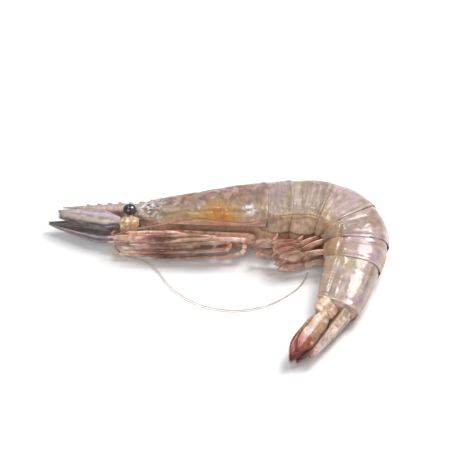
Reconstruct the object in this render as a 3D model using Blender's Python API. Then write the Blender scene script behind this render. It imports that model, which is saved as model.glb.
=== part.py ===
"""A whole raw prawn, head and shell on, lying on its right side with its tail curled under.

Sizes are in millimetres and body coordinates: a station along the mid-line, counted back from the
eye socket, an offset towards the back (dorsal) and an offset towards the prawn's left side, which
is the side that lies uppermost. body_point() turns them into metres in the part's own frame:
the head points along -X, the back faces +Y, the left side faces +Z, and the floor is z = 0.
The frame's origin is under the middle of the whole prawn.
"""

import math

import bmesh
import bpy
from mathutils import Vector

MM = 0.001

# Driving sizes of the body
ORIGIN_STATION = 24.0
ORIGIN_SHIFT = (2.15, 20.32)
CARAPACE_LENGTH = 36.0
SEGMENT_LENGTHS = (7.5, 9.9, 8.9, 8.0, 7.6, 15.5)
ROSTRUM_REACH = 25.0
SCALE_REACHES = {"left": 26.0, "right": 29.0}
TELSON_LENGTH = 19.0
EXOPOD_LENGTH = 22.4
ENDOPOD_LENGTH = 20.6
GAP = 0.4

# The mid-line's heading at stations, in degrees from +X: straight head, abdomen curled towards -Y
HEADINGS = (
    (20.0, 1.0),
    (38.0, 0.0),
    (46.8, -4.0),
    (53.4, -16.0),
    (58.8, -38.0),
    (64.6, -68.0),
    (70.4, -92.0),
    (78.8, -103.0),
    (89.0, -106.0),
    (96.0, -118.0),
    (121.4, -127.0),
)
# Height of the mid-plane above the floor
MID_HEIGHTS = ((-30.0, 5.2), (0.0, 5.5), (18.0, 6.4), (34.0, 7.1), (49.2, 7.4), (62.4, 7.1),
               (73.7, 6.4), (83.4, 5.7), (93.4, 5.0), (121.4, 4.6))
# Half sizes of the body: up to the back, down to the belly, and out to the flank
BACK = ((-4.0, 3.8), (0.0, 5.4), (8.0, 6.9), (18.0, 8.1), (28.0, 9.3), (36.0, 10.3), (47.3, 11.2),
        (56.7, 11.4), (66.1, 10.6), (74.6, 9.0), (81.4, 7.9), (89.4, 6.9), (94.4, 5.9))
BELLY = ((-4.0, 3.6), (0.0, 5.2), (8.0, 7.0), (18.0, 8.9), (28.0, 10.4), (36.0, 11.3), (47.3, 12.2),
         (56.7, 11.6), (66.1, 10.6), (74.6, 9.9), (81.4, 9.4), (89.4, 8.6), (94.4, 7.6))
FLANK = ((-4.0, 3.2), (0.0, 4.6), (8.0, 5.9), (18.0, 6.8), (28.0, 7.4), (36.0, 7.8), (47.3, 8.0),
         (56.7, 8.0), (66.1, 7.4), (74.6, 6.6), (81.4, 5.7), (89.4, 4.9), (94.4, 4.2))
FLANK_SQUARENESS = 0.85
LOWER_EDGE = math.radians(145)
BELLY_GROOVE = 1.2

# Fineness
ARC_POINTS = 23
AXIS_STEP = 0.25
AXIS_START = -60.0
AXIS_END = 135.0


def clear_scene():
    for thing in list(bpy.data.objects):
        bpy.data.objects.remove(thing, do_unlink=True)


def new_collection(name, hidden=False):
    made = bpy.data.collections.new(name)
    bpy.context.scene.collection.children.link(made)
    made.hide_render = hidden
    return made


def material(name, colour, roughness):
    made = bpy.data.materials.new(name)
    made.use_nodes = True
    shader = made.node_tree.nodes["Principled BSDF"]
    shader.inputs["Base Color"].default_value = (*colour, 1.0)
    shader.inputs["Roughness"].default_value = roughness
    shader.inputs["Metallic"].default_value = 0.0
    made.diffuse_color = (*colour, 1.0)
    return made


def smooth_value(stations, s):
    """The value at s of a smooth curve through (station, value) pairs, held constant past the ends."""
    if s <= stations[0][0]:
        return stations[0][1]
    if s >= stations[-1][0]:
        return stations[-1][1]
    last = len(stations) - 1
    i = next(k for k in range(last) if s <= stations[k + 1][0])

    def slope(k):
        before, after = stations[max(k - 1, 0)], stations[min(k + 1, last)]
        return (after[1] - before[1]) / (after[0] - before[0])

    (s0, v0), (s1, v1) = stations[i], stations[i + 1]
    span = s1 - s0
    u = (s - s0) / span
    rise = 3 * u**2 - 2 * u**3
    return (
        v0 * (1 - rise)
        + v1 * rise
        + span * slope(i) * (u**3 - 2 * u**2 + u)
        + span * slope(i + 1) * (u**3 - u**2)
    )


def trace_axis():
    """The mid-line as (x, y, heading) every AXIS_STEP, walked back from in front of the rostrum."""
    x, y = AXIS_START - ORIGIN_STATION, 0.0
    traced = []
    for k in range(int((AXIS_END - AXIS_START) / AXIS_STEP) + 1):
        middle = math.radians(smooth_value(HEADINGS, AXIS_START + (k + 0.5) * AXIS_STEP))
        traced.append((x, y, math.radians(smooth_value(HEADINGS, AXIS_START + k * AXIS_STEP))))
        x += AXIS_STEP * math.cos(middle)
        y += AXIS_STEP * math.sin(middle)
    return traced


AXIS = trace_axis()


def axis_at(s):
    """(x, y, heading) of the mid-line at station s, in millimetres and radians."""
    place = min(max((s - AXIS_START) / AXIS_STEP, 0.0), len(AXIS) - 1.001)
    k = int(place)
    u = place - k
    return tuple(a * (1 - u) + b * u for a, b in zip(AXIS[k], AXIS[k + 1]))


def place(x, y, z):
    """A point in metres from millimetres counted from under the mid-line at ORIGIN_STATION."""
    return Vector((x + ORIGIN_SHIFT[0], y + ORIGIN_SHIFT[1], z)) * MM


def body_point(s, dorsal, left):
    """The point in metres at station s, with its offsets towards the back and the left flank."""
    x, y, heading = axis_at(s)
    z = smooth_value(MID_HEIGHTS, s) + left
    return place(x - dorsal * math.sin(heading), y + dorsal * math.cos(heading), max(z, 0.0))


def stretch_at(s, dorsal):
    """How much longer a line this far from the mid-line is, where the body curls."""
    turn = axis_at(s + 1.0)[2] - axis_at(s - 1.0)[2]
    return max(1.0 - dorsal * turn / 2.0, 0.2)


def skin(s, angle, grow=1.0):
    """(dorsal, left) of the body's skin at station s, at an angle round from the middle of the back."""
    up, out = math.cos(angle), math.sin(angle)
    height = smooth_value(BACK if up > 0 else BELLY, s)
    dorsal = height * math.copysign(abs(up) ** FLANK_SQUARENESS, up)
    left = smooth_value(FLANK, s) * math.copysign(abs(out) ** FLANK_SQUARENESS, out)
    return dorsal * grow, left * grow


def arc_angles():
    """The angles round the shell from its right lower edge, over the back, to its left one."""
    return [LOWER_EDGE * (2 * k / (ARC_POINTS - 1) - 1) for k in range(ARC_POINTS)]


def shell_ring(station_at, grow, lobe=1.0):
    """One closed ring of a shell piece: over the back from edge to edge, then in under the belly."""
    ring = []
    for angle in arc_angles():
        s = station_at(angle)
        dorsal, left = skin(s, angle, grow)
        ring.append(body_point(s, dorsal * (lobe if dorsal < 0 else 1.0), left))
    s = station_at(LOWER_EDGE)
    dorsal, left = skin(s, LOWER_EDGE, grow)
    for share in (0.7, 0.0, -0.7):
        ring.append(body_point(s, dorsal * lobe + BELLY_GROOVE, left * share))
    return ring


def add_object(name, mesh, group, finish):
    made = bpy.data.objects.new(name, mesh)
    group.objects.link(made)
    mesh.materials.clear()
    mesh.materials.append(finish)
    return made


def loft(name, rings, group, finish, sharp=50):
    """A closed solid through rings of equal length, each end closed by a fan from its middle."""
    shape = bmesh.new()
    rows = [[shape.verts.new(p) for p in ring] for ring in rings]
    count = len(rows[0])
    for row, following in zip(rows, rows[1:]):
        for k in range(count):
            j = (k + 1) % count
            shape.faces.new((row[k], row[j], following[j], following[k]))
    for row in (rows[0], rows[-1]):
        middle = shape.verts.new(sum((v.co for v in row), Vector()) / count)
        for k in range(count):
            shape.faces.new((row[k], row[(k + 1) % count], middle))
    bmesh.ops.recalc_face_normals(shape, faces=shape.faces)
    mesh = bpy.data.meshes.new(name)
    shape.to_mesh(mesh)
    shape.free()
    mesh.shade_smooth()
    mesh.set_sharp_from_angle(angle=math.radians(sharp))
    return add_object(name, mesh, group, finish)


def smooth_route(points, steps):
    """Points along a smooth curve through the given ones, steps to each stretch between them."""
    route = []
    padded = [points[0], *points, points[-1]]
    for a, b, c, d in zip(padded, padded[1:], padded[2:], padded[3:]):
        for k in range(steps):
            u = k / steps
            route.append(
                0.5 * (2 * b + u * (c - a) + u**2 * (2 * a - 5 * b + 4 * c - d)
                       + u**3 * (3 * b - a - 3 * c + d))
            )
    route.append(points[-1])
    return route


def tube(name, points, radii, group, finish, steps=3, sides=2):
    """A round limb or whisker along a smooth route, with a radius in millimetres at each given point."""
    curve = bpy.data.curves.new(name, "CURVE")
    curve.dimensions = "3D"
    curve.bevel_depth = MM
    curve.bevel_resolution = sides
    curve.use_fill_caps = True
    route = smooth_route(points, steps)
    spline = curve.splines.new("POLY")
    spline.points.add(len(route) - 1)
    for k, (point, spot) in enumerate(zip(spline.points, route)):
        i, u = divmod(k / steps, 1)
        i = int(i)
        following = radii[min(i + 1, len(radii) - 1)]
        point.co = (*spot, 1.0)
        point.radius = radii[i] * (1 - u) + following * u
    spline.use_smooth = True
    return add_object(name, curve, group, finish)


def blade(name, spine, half_widths, half_thickness, lean, group, finish, cupping=0.0, thinning=0.0):
    """A thin leaf along a spine of (station, dorsal, left) points.

    lean turns its width from the prawn's left (0) towards its back (90 degrees); cupping bends both
    edges that many millimetres towards the belly; thinning is the share of thickness lost by the tip.
    """
    along = (math.sin(math.radians(lean)), math.cos(math.radians(lean)))
    across = (along[1], -along[0])
    rings = []
    for row, ((s, dorsal, left), half) in enumerate(zip(spine, half_widths)):
        deep = half_thickness * (1 - thinning * row / (len(spine) - 1))
        ring = []
        for k in range(8):
            turn = 2 * math.pi * k / 8
            wide = half * math.cos(turn)
            thick = min(deep, half) * math.sin(turn) - cupping * math.cos(turn) ** 2
            ring.append(
                body_point(s, dorsal + wide * along[0] + thick * across[0],
                           left + wide * along[1] + thick * across[1])
            )
        rings.append(ring)
    return loft(name, rings, group, finish)


clear_scene()
prawn = new_collection("raw_prawn")
cutters = new_collection("cutters", hidden=True)

SHELL = material("shell", (0.47, 0.42, 0.36), 0.3)
LIMB = material("limb", (0.72, 0.50, 0.42), 0.35)
TAIL = material("tail_blade", (0.42, 0.20, 0.16), 0.3)
EYE = material("eye", (0.02, 0.02, 0.025), 0.15)
WHISKER = material("whisker", (0.66, 0.34, 0.30), 0.4)
BELLY_SKIN = material("belly", (0.55, 0.42, 0.32), 0.35)

SIDES = (("left", 1), ("right", -1))


# The shell over the head, with the rostrum and its teeth in one piece

FRONT_EDGE = ((0.0, -2.5), (35.0, 0.8), (55.0, 0.6), (72.0, -1.6), (95.0, -0.4), (125.0, 1.5),
              (145.0, 4.5))
FACE_REACH = 2.4
ROSTRUM_ROOT = 16.0
ROSTRUM_RISE = 5.3
ROSTRUM_DEPTH = 3.4
ROSTRUM_HALF_WIDTH = 0.9
CARAPACE_RINGS = 12


def front_edge(angle):
    return smooth_value(FRONT_EDGE, abs(math.degrees(angle)))


def rear_edge(boundary, angle):
    """Station of a shell piece's rear edge: swept back over the flank and the lower lobe."""
    sweep = 1.4 if boundary < len(SEGMENT_LENGTHS) - 1 else 0.6
    start = CARAPACE_LENGTH + sum(SEGMENT_LENGTHS[:boundary])
    return start + sweep * (math.sin(angle) ** 2 - 0.5)


def carapace_rings():
    rings = []
    for share, shrink in ((1.0, 0.45), (0.75, 0.78)):
        rings.append(shell_ring(lambda a, back=share: front_edge(a) - FACE_REACH * back, shrink))
    for k in range(CARAPACE_RINGS + 1):
        u = k / CARAPACE_RINGS
        rings.append(
            shell_ring(
                lambda a, u=u: front_edge(a) * (1 - u) + (rear_edge(0, a) - GAP / 2) * u,
                0.97 + 0.05 * u,
            )
        )
    return rings


def rostrum_line(u):
    """(station, dorsal) of the rostrum's middle, from its root on the back (0) to its tip (1)."""
    s = ROSTRUM_ROOT + (-ROSTRUM_REACH - ROSTRUM_ROOT) * u
    on_back = smooth_value(BACK, s) - 1.3 * (1 - min(u / 0.3, 1.0))
    blend = min(max((u - 0.3) / 0.25, 0.0), 1.0)
    return s, on_back * (1 - blend) + ROSTRUM_RISE * blend


def rostrum_rings():
    """A blade deeper than wide, with a ridge along each side, that tapers to the tip."""
    rings = []
    for k in range(11):
        u = k / 10
        s, dorsal = rostrum_line(u)
        taper = min(1.0, 0.45 + 1.4 * u) * (1 - 0.88 * u**2.2)
        half, wide = ROSTRUM_DEPTH / 2 * taper, ROSTRUM_HALF_WIDTH * (1 - 0.75 * u)
        ring = []
        for j in range(8):
            turn = 2 * math.pi * j / 8
            ring.append(body_point(s, dorsal + half * math.cos(turn), wide * math.sin(turn)))
        rings.append(ring)
    return rings


def tooth(name, u, upward, size):
    """One tooth of the rostrum: a cone that leans forwards, its foot sunk in the blade."""
    s, dorsal = rostrum_line(u)
    edge = ROSTRUM_DEPTH / 2 * min(1.0, 0.45 + 1.4 * u) * (1 - 0.88 * u**2.2) * upward
    foot = body_point(s, dorsal + edge * 0.45, 0.0)
    tip = body_point(s - 1.7 * size, dorsal + edge + 0.95 * size * upward, 0.0)
    rings = []
    for share in (0.0, 0.6, 0.97):
        centre = foot.lerp(tip, share)
        half = 0.62 * MM * size * (1 - share)
        rings.append([
            centre + Vector((half * 1.5 * math.cos(a), 0.0, half * 0.7 * math.sin(a)))
            for a in (2 * math.pi * j / 6 for j in range(6))
        ])
    return loft(name, rings, cutters, SHELL)


def make_carapace():
    carapace = loft("carapace", carapace_rings(), prawn, SHELL)
    loft("rostrum_blade", rostrum_rings(), cutters, SHELL)
    for k in range(8):
        tooth(f"upper_tooth_{k + 1}", 0.24 + 0.08 * k, 1, 1.0 - 0.05 * k)
    for k in range(2):
        tooth(f"lower_tooth_{k + 1}", 0.74 + 0.1 * k, -1, 0.7)
    join(carapace, cutters)


def join(target, group):
    """Unites a piece with everything in a collection, applies it, and removes what was joined on."""
    union = target.modifiers.new("join", "BOOLEAN")
    union.operation = "UNION"
    union.operand_type = "COLLECTION"
    union.collection = group
    union.solver = "EXACT"
    graph = bpy.context.evaluated_depsgraph_get()
    joined = bpy.data.meshes.new_from_object(target.evaluated_get(graph))
    target.modifiers.clear()
    target.data = joined
    for thing in list(group.objects):
        bpy.data.objects.remove(thing, do_unlink=True)


make_carapace()


# The underside of the thorax, which carries the legs, in the groove between the carapace's edges

THORAX_START = 6.5
THORAX_END = 33.0


def make_thorax():
    rings = []
    for k in range(8):
        s = THORAX_START + (THORAX_END - THORAX_START) * k / 7
        dorsal, left = skin(s, LOWER_EDGE, 0.97)
        top = dorsal + BELLY_GROOVE - 3 * GAP
        half = left * 0.64 - GAP
        depth = smooth_value(BELLY, s) * (0.99 - 0.08 * (k in (0, 7)))
        outline = ((top, 1.0), (top, 0.0), (top, -1.0), (-depth * 0.93, -0.8), (-depth, 0.0),
                   (-depth * 0.93, 0.8))
        rings.append([body_point(s, d, half * w) for d, w in outline])
    loft("thorax_underside", rings, prawn, BELLY_SKIN)


make_thorax()


# The six shell rings of the abdomen, each tucked under the rear edge of the one before

SEGMENT_RINGS = 5
LAST_SEGMENT_RINGS = 7


def edge_gap(boundary, angle):
    """Half of the gap at a boundary, as stations, so that the curl doesn't close it."""
    s = rear_edge(boundary, angle)
    return GAP / 2 / stretch_at(s, skin(s, angle)[0])


def make_segment(number):
    last = number == len(SEGMENT_LENGTHS)
    count = LAST_SEGMENT_RINGS if last else SEGMENT_RINGS
    rings = []
    for k in range(count + 1):
        u = k / count

        def station(angle, u=u):
            start = rear_edge(number - 1, angle) + edge_gap(number - 1, angle)
            end = rear_edge(number, angle) - edge_gap(number, angle)
            return start * (1 - u) + end * u

        lobe = 1.0 if last else 0.88 + 0.12 * math.sin(math.pi * u) ** 0.7
        grow = 0.965 + 0.055 * u**0.8
        rings.append(shell_ring(station, grow, lobe))
    loft(f"abdomen_segment_{number}", rings, prawn, SHELL)


for segment_number in range(1, len(SEGMENT_LENGTHS) + 1):
    make_segment(segment_number)


# The tail fan: the pointed telson, and on each side a short base with an outer and an inner blade

TAIL_START = CARAPACE_LENGTH + sum(SEGMENT_LENGTHS)


FAN_START = TAIL_START + 0.75
FAN_BASE_LENGTH = 4.6


def make_telson():
    spine, widths = [], []
    for k in range(9):
        u = k / 8
        spine.append((FAN_START + TELSON_LENGTH * u, 3.3 - 0.9 * u, 0.0))
        widths.append(2.8 * (1 - u) ** 0.7 + 0.35)
    blade("telson", spine, widths, 1.4, 0, prawn, TAIL, cupping=0.9, thinning=0.6)


def make_uropod(side, sign):
    base = []
    for k in range(4):
        u = k / 3
        base.append((FAN_START + FAN_BASE_LENGTH * u, -2.2 - 0.3 * u, sign * (2.2 + 0.6 * u)))
    blade(f"uropod_base_{side}", base, (2.6, 3.0, 3.0, 2.5), 1.6, -62 * sign, prawn, SHELL)
    for kind, length, dorsal, reach, half, lean in (
        ("outer", EXOPOD_LENGTH, -2.5, 2.2, 2.6, -68),
        ("inner", ENDOPOD_LENGTH, -1.2, 3.3, 2.7, -62),
    ):
        spine, widths = [], []
        blade_start = FAN_START + FAN_BASE_LENGTH + 0.8
        for k in range(10):
            u = k / 9
            spine.append(
                (blade_start + (FAN_START + length - blade_start) * u, dorsal + 0.2 * u,
                 sign * (reach - 0.4 * u))
            )
            widths.append(half * min(1.0, 0.6 + 1.6 * u) * (1 - max(0.0, u - 0.65) ** 2 * 5.2))
        blade(f"uropod_{kind}_{side}", spine, widths, 0.45, lean * sign, prawn, TAIL, cupping=0.4)


make_telson()
for side_name, side_sign in SIDES:
    make_uropod(side_name, side_sign)


# The eyes, on short stalks that reach out sideways from under the root of the rostrum

EYE_RADIUS = 1.9


def make_eye(side, sign):
    route = [body_point(-5.5, 1.0, sign * 0.7), body_point(-5.4, 1.0, sign * 1.3),
             body_point(-5.2, 1.0, sign * 1.9)]
    tube(f"eyestalk_{side}", route, (0.7, 0.85, 1.05), prawn, LIMB, steps=2)
    shape = bmesh.new()
    bmesh.ops.create_uvsphere(shape, u_segments=14, v_segments=9, radius=EYE_RADIUS * MM)
    mesh = bpy.data.meshes.new(f"eye_{side}")
    shape.to_mesh(mesh)
    shape.free()
    mesh.shade_smooth()
    eye = add_object(f"eye_{side}", mesh, prawn, EYE)
    eye.location = body_point(-4.9, 0.9, sign * (2.05 + EYE_RADIUS * 0.85))
    eye.scale = (1.1, 1.0, 0.85)


for side_name, side_sign in SIDES:
    make_eye(side_name, side_sign)


# The feelers: a stalk under the rostrum each side with two short whips, and below it a stout base
# that carries the broad scale and one long whip

ANTENNULE_LENGTH = 12.0
ANTENNA_BASE = (-3.0, -7.4, -4.4, 2.9)
SCALE_HALF_WIDTHS = {"left": 3.9, "right": 3.1}
SCALE_NARROWINGS = {"left": 0.62, "right": 0.84}
SCALE_LEANS = {"left": -95, "right": 60}
SCALE_ROOTS = {"left": -3.9, "right": -3.2}
WHIP_RADIUS = 0.3


def make_antennule(side, sign):
    route = [body_point(-6.3 - ANTENNULE_LENGTH * u, 2.9, sign * 1.25) for u in (0.0, 0.2, 0.5, 0.9)]
    route += [body_point(-21.0, 2.9, sign * 1.1), body_point(-25.0, 3.2, sign * 0.9)]
    tube(f"antennule_{side}", route, (0.9, 0.95, 0.85, 0.65, 0.35, 0.2), prawn, LIMB, steps=2)


def make_scale(side, sign):
    first = ANTENNA_BASE[1] - 0.4
    spine, widths = [], []
    for k in range(10):
        u = k / 9
        s = first + (-SCALE_REACHES[side] - first) * u
        spine.append((s, SCALE_ROOTS[side] * (1 - u) + 1.0 * u, sign * (3.7 - 1.4 * u)))
        narrowing = 1 - SCALE_NARROWINGS[side] * (max(0.0, u - 0.3) / 0.7) ** 1.6
        widths.append(SCALE_HALF_WIDTHS[side] * min(1.0, 0.5 + 2.0 * u) * narrowing)
    lean = SCALE_LEANS[side]
    blade(f"antennal_scale_{side}", spine, widths, 0.5, lean, prawn, SHELL, cupping=0.5)


def make_antenna_base(side, sign):
    back, front, dorsal, reach = ANTENNA_BASE
    route = [
        body_point(back + (front - back) * u, dorsal + 0.4 - 0.4 * u, sign * reach)
        for u in (0.0, 0.35, 0.7, 1.0)
    ]
    tube(f"antenna_base_{side}", route, (1.7, 2.2, 2.3, 1.8), prawn, LIMB, steps=2)


def on_flank(s, degrees, lift):
    """A point on the left flank, lifted off the shell."""
    angle = math.radians(degrees)
    dorsal, left = skin(s, angle)
    return body_point(s, dorsal + lift * math.cos(angle), left + lift * math.sin(angle))


def make_whips():
    front, dorsal, reach = ANTENNA_BASE[1] - 0.3, ANTENNA_BASE[2] - 0.4, ANTENNA_BASE[3]
    over_body = [
        body_point(front, dorsal, reach - 1.0),
        body_point(front - 2.2, dorsal - 2.0, reach - 0.9),
        body_point(front - 2.0, dorsal - 5.4, reach + 1.6),
        body_point(front + 3.0, -10.2, 6.6),
        body_point(6.0, -8.8, 7.4),
        on_flank(14.0, 128, 1.2),
    ]
    for s, degrees in ((21.0, 131), (29.5, 136), (36.0, 129), (43.0, 121), (50.0, 119), (56.5, 122),
                       (61.5, 127), (65.0, 134)):
        over_body.append(on_flank(s, degrees, 0.85))
    thin = [WHIP_RADIUS * 1.6] * 2 + [WHIP_RADIUS * (1.25 - 0.05 * k) for k in range(12)]
    tube("antenna_whip_left", over_body, thin, prawn, WHISKER, steps=3, sides=1)
    on_floor = [
        body_point(front, dorsal, 1.0 - reach),
        body_point(front - 2.0, dorsal - 2.2, 0.8 - reach),
        body_point(front + 0.2, dorsal - 5.0, -reach - 1.5),
    ]
    for x, y in ((-22.2, -13.2), (-16.2, -22.0), (-8.4, -28.2), (1.2, -30.8), (10.8, -29.4),
                 (18.2, -25.0), (22.6, -20.4), (24.2, -16.4)):
        on_floor.append(place(x, y, WHIP_RADIUS + 0.05))
    thin = [WHIP_RADIUS * 1.6, WHIP_RADIUS * 1.5, WHIP_RADIUS * 1.2] + [WHIP_RADIUS * 0.9] * 8
    tube("antenna_whip_right", on_floor, thin, prawn, WHISKER, steps=3, sides=1)


for side_name, side_sign in SIDES:
    make_antennule(side_name, side_sign)
    make_scale(side_name, side_sign)
    make_antenna_base(side_name, side_sign)
make_whips()


# The feeding legs and the five pairs of walking legs, folded forwards under the head

LEG_BASES = (11.5, 16.0, 20.5, 25.0, 29.5)
LEG_TIPS = (
    (-6.5, -8.4, 3.8),
    (-8.5, -9.4, 2.0),
    (-10.0, -10.6, 3.6),
    (-5.0, -11.6, 1.8),
    (1.5, -12.8, 3.5),
)
LEG_LANES = ((-9.3, 4.2), (-10.4, 1.8), (-11.0, 4.1), (-12.2, 1.8), (-12.7, 4.0))
LEG_RADII = (0.8, 0.7, 0.6, 0.52, 0.46, 0.38, 0.2)


def make_leg(number, side, sign):
    start = LEG_BASES[number - 1]
    tip_s, tip_dorsal, tip_left = LEG_TIPS[number - 1]
    lane_dorsal, lane_left = LEG_LANES[number - 1]
    belly = smooth_value(BELLY, start)
    run = start - tip_s
    route = [
        body_point(start, -belly - 0.8, sign * 1.2),
        body_point(start - 0.9, (lane_dorsal - belly) / 2 - 0.9, sign * (0.5 * lane_left + 0.8)),
        body_point(start - 0.22 * run, lane_dorsal - 0.2, sign * lane_left),
        body_point(start - 0.45 * run, lane_dorsal, sign * lane_left),
        body_point(start - 0.65 * run, (lane_dorsal * 2 + tip_dorsal) / 3, sign * lane_left),
        body_point(start - 0.85 * run, (lane_dorsal + 2 * tip_dorsal) / 3, sign * tip_left),
        body_point(tip_s, tip_dorsal, sign * tip_left),
    ]
    tube(f"walking_leg_{number}_{side}", route, LEG_RADII, prawn, LIMB, steps=2)


def make_feeding_leg(side, sign):
    route = [body_point(6.0, -7.6, sign * 1.2), body_point(4.0, -8.2, sign * 1.7),
             body_point(-1.0, -8.0, sign * 1.6), body_point(-6.0, -7.6, sign * 1.2),
             body_point(-11.5, -7.8, sign * 1.1)]
    tube(f"feeding_leg_{side}", route, (0.65, 0.65, 0.55, 0.42, 0.22), prawn, LIMB, steps=2)


for side_name, side_sign in SIDES:
    make_feeding_leg(side_name, side_sign)
    for leg_number in range(1, 6):
        make_leg(leg_number, side_name, side_sign)


# The five pairs of swimming legs: a short stalk from each segment's belly and a leaf laid forwards

LEAF_KNEES = ((14.2, -11.9), (21.6, -12.0), (22.4, -13.0), (23.0, -14.5), (23.8, -16.0))
LEAF_ENDS = ((8.8, -12.4), (13.6, -13.1), (13.8, -14.5), (14.6, -15.9), (15.8, -17.4))


def leaf(name, route, half_widths, half_thickness, group, finish):
    """A thin leaf along a route, its width upright."""
    rings = []
    for k, (centre, half) in enumerate(zip(route, half_widths)):
        along = (route[min(k + 1, len(route) - 1)] - route[max(k - 1, 0)]).normalized()
        across = along.cross(Vector((0.0, 0.0, 1.0))).normalized()
        ring = []
        for j in range(8):
            turn = 2 * math.pi * j / 8
            thick = min(half_thickness, half) * math.sin(turn) * MM
            ring.append(centre + Vector((0.0, 0.0, half * math.cos(turn) * MM)) + across * thick)
        rings.append(ring)
    return loft(name, rings, group, finish)


def make_swimming_leg(number, side, sign):
    middle = CARAPACE_LENGTH + sum(SEGMENT_LENGTHS[: number - 1]) + SEGMENT_LENGTHS[number - 1] * 0.5
    dorsal = skin(middle, LOWER_EDGE)[0] + BELLY_GROOVE - 0.75
    foot = body_point(middle, dorsal, sign * 2.1)
    knee, end = (
        place(x, y, foot.z / MM + sign * 0.3)
        for x, y in (LEAF_KNEES[number - 1], LEAF_ENDS[number - 1])
    )
    route = smooth_route([foot, knee, knee.lerp(end, 0.5) + Vector((0.0, -0.4 * MM, 0.0)), end], 2)
    leaf(f"swimming_leg_{number}_{side}", route, (1.0, 1.2, 1.4, 1.9, 2.1, 1.8, 0.7), 0.4, prawn, LIMB)


for side_name, side_sign in SIDES:
    for leg_number in range(1, 6):
        make_swimming_leg(leg_number, side_name, side_sign)

bpy.data.collections.remove(cutters)
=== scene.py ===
import math

import bmesh
import bpy
import numpy as np
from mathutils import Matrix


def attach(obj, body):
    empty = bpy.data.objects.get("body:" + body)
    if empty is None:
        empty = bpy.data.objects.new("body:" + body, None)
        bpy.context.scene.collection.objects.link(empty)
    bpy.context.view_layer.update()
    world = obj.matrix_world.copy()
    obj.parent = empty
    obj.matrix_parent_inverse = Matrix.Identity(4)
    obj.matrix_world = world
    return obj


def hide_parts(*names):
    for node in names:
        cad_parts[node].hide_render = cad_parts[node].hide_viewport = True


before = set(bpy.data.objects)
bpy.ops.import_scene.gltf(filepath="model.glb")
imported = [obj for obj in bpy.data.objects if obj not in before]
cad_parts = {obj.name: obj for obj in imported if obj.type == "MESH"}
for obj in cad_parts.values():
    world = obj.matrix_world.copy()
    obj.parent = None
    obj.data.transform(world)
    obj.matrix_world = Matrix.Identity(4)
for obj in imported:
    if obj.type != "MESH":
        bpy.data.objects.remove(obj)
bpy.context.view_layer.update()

# The table, the light and the camera.
# A matt white board under a wide soft light behind and to the right of the prawn, a small one behind
# its head and a weaker one in front. It is seen from the belly side and from well back.

CAMERA_ELEVATION = math.radians(48)
CAMERA_DISTANCE = 1.508
LENS_LENGTH, SENSOR_WIDTH = 400, 36
AIM = np.array([0.00215, 0.01772, 0.0065])
# Each light: its name, place, size, power and colour
LIGHTS = (
    ("strip_light", (0.26, 0.18, 0.50), (0.25, 0.34), 3.4, (1.0, 0.99, 0.98)),
    ("back_light", (-0.10, 0.20, 0.56), (0.10, 0.07), 0.5, (1.0, 1.0, 1.0)),
    ("front_light", (-0.25, -0.45, 0.42), (0.4, 0.4), 1.35, (1.0, 0.98, 0.96)),
)
ROOM_COLOUR, ROOM_STRENGTH = (0.95, 0.97, 1.0, 1.0), 0.38
BOARD_REACH, BOARD_TOP = 1.5, -0.0002
BOARD_COLOUR, BOARD_ROUGHNESS = (0.9, 0.9, 0.9, 1.0), 0.6


def linear(red, green, blue):
    """A colour given as a screen shows it, 0 to 255, as Blender's own numbers."""
    share = np.array([red, green, blue], float) / 255
    return np.where(share <= 0.04045, share / 12.92, ((share + 0.055) / 1.055) ** 2.4)


def aimed(thing, place, at):
    """Puts a light or a camera at a place, pointing at another."""
    direction = np.asarray(at) - np.asarray(place)
    flat = math.hypot(direction[0], direction[1])
    thing.location = place
    thing.rotation_euler = (
        math.pi / 2 + math.atan2(direction[2], flat),
        0.0,
        math.atan2(-direction[0], direction[1]),
    )
    bpy.context.scene.collection.objects.link(thing)
    return thing


def soft_light(name, place, size, power, colour):
    lamp = bpy.data.lights.new(name, "AREA")
    lamp.shape = "RECTANGLE"
    lamp.size, lamp.size_y = size
    lamp.energy = power
    lamp.color = colour
    aimed(bpy.data.objects.new(name, lamp), place, AIM)


lens = bpy.data.cameras.new("camera")
lens.lens = LENS_LENGTH
lens.sensor_width = SENSOR_WIDTH
lens.clip_start = 0.01
back_off = np.array([0.0, -math.cos(CAMERA_ELEVATION), math.sin(CAMERA_ELEVATION)])
bpy.context.scene.camera = aimed(
    bpy.data.objects.new("camera", lens), AIM + back_off * CAMERA_DISTANCE, AIM
)

for light in LIGHTS:
    soft_light(*light)

room = bpy.data.worlds.new("room")
room.use_nodes = True
room_light = room.node_tree.nodes["Background"]
room_light.inputs["Color"].default_value = ROOM_COLOUR
room_light.inputs["Strength"].default_value = ROOM_STRENGTH
bpy.context.scene.world = room
bpy.context.scene.view_settings.view_transform = "Standard"

board_mesh = bpy.data.meshes.new("board")
board_mesh.from_pydata(
    [(x * BOARD_REACH, y * BOARD_REACH, BOARD_TOP) for x, y in ((-1, -1), (1, -1), (1, 1), (-1, 1))],
    [],
    [(0, 1, 2, 3)],
)
board = bpy.data.objects.new("board", board_mesh)
bpy.context.scene.collection.objects.link(board)
board_white = bpy.data.materials.new("board_white")
board_white.use_nodes = True
board_paint = board_white.node_tree.nodes["Principled BSDF"]
board_paint.inputs["Base Color"].default_value = BOARD_COLOUR
board_paint.inputs["Roughness"].default_value = BOARD_ROUGHNESS
board_mesh.materials.append(board_white)


# The head shell.
# One thin curved plate saddles the whole head and chest, from the eye sockets to the first ring of
# the tail, and runs out in front as a toothed spike. It is clear enough for the orange gland and
# the olive gut to show through, and freckled with dark pigment.

MM = 0.001
ORIGIN_STATION = 24.0
ORIGIN_SHIFT = (2.15, 20.32)
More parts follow.
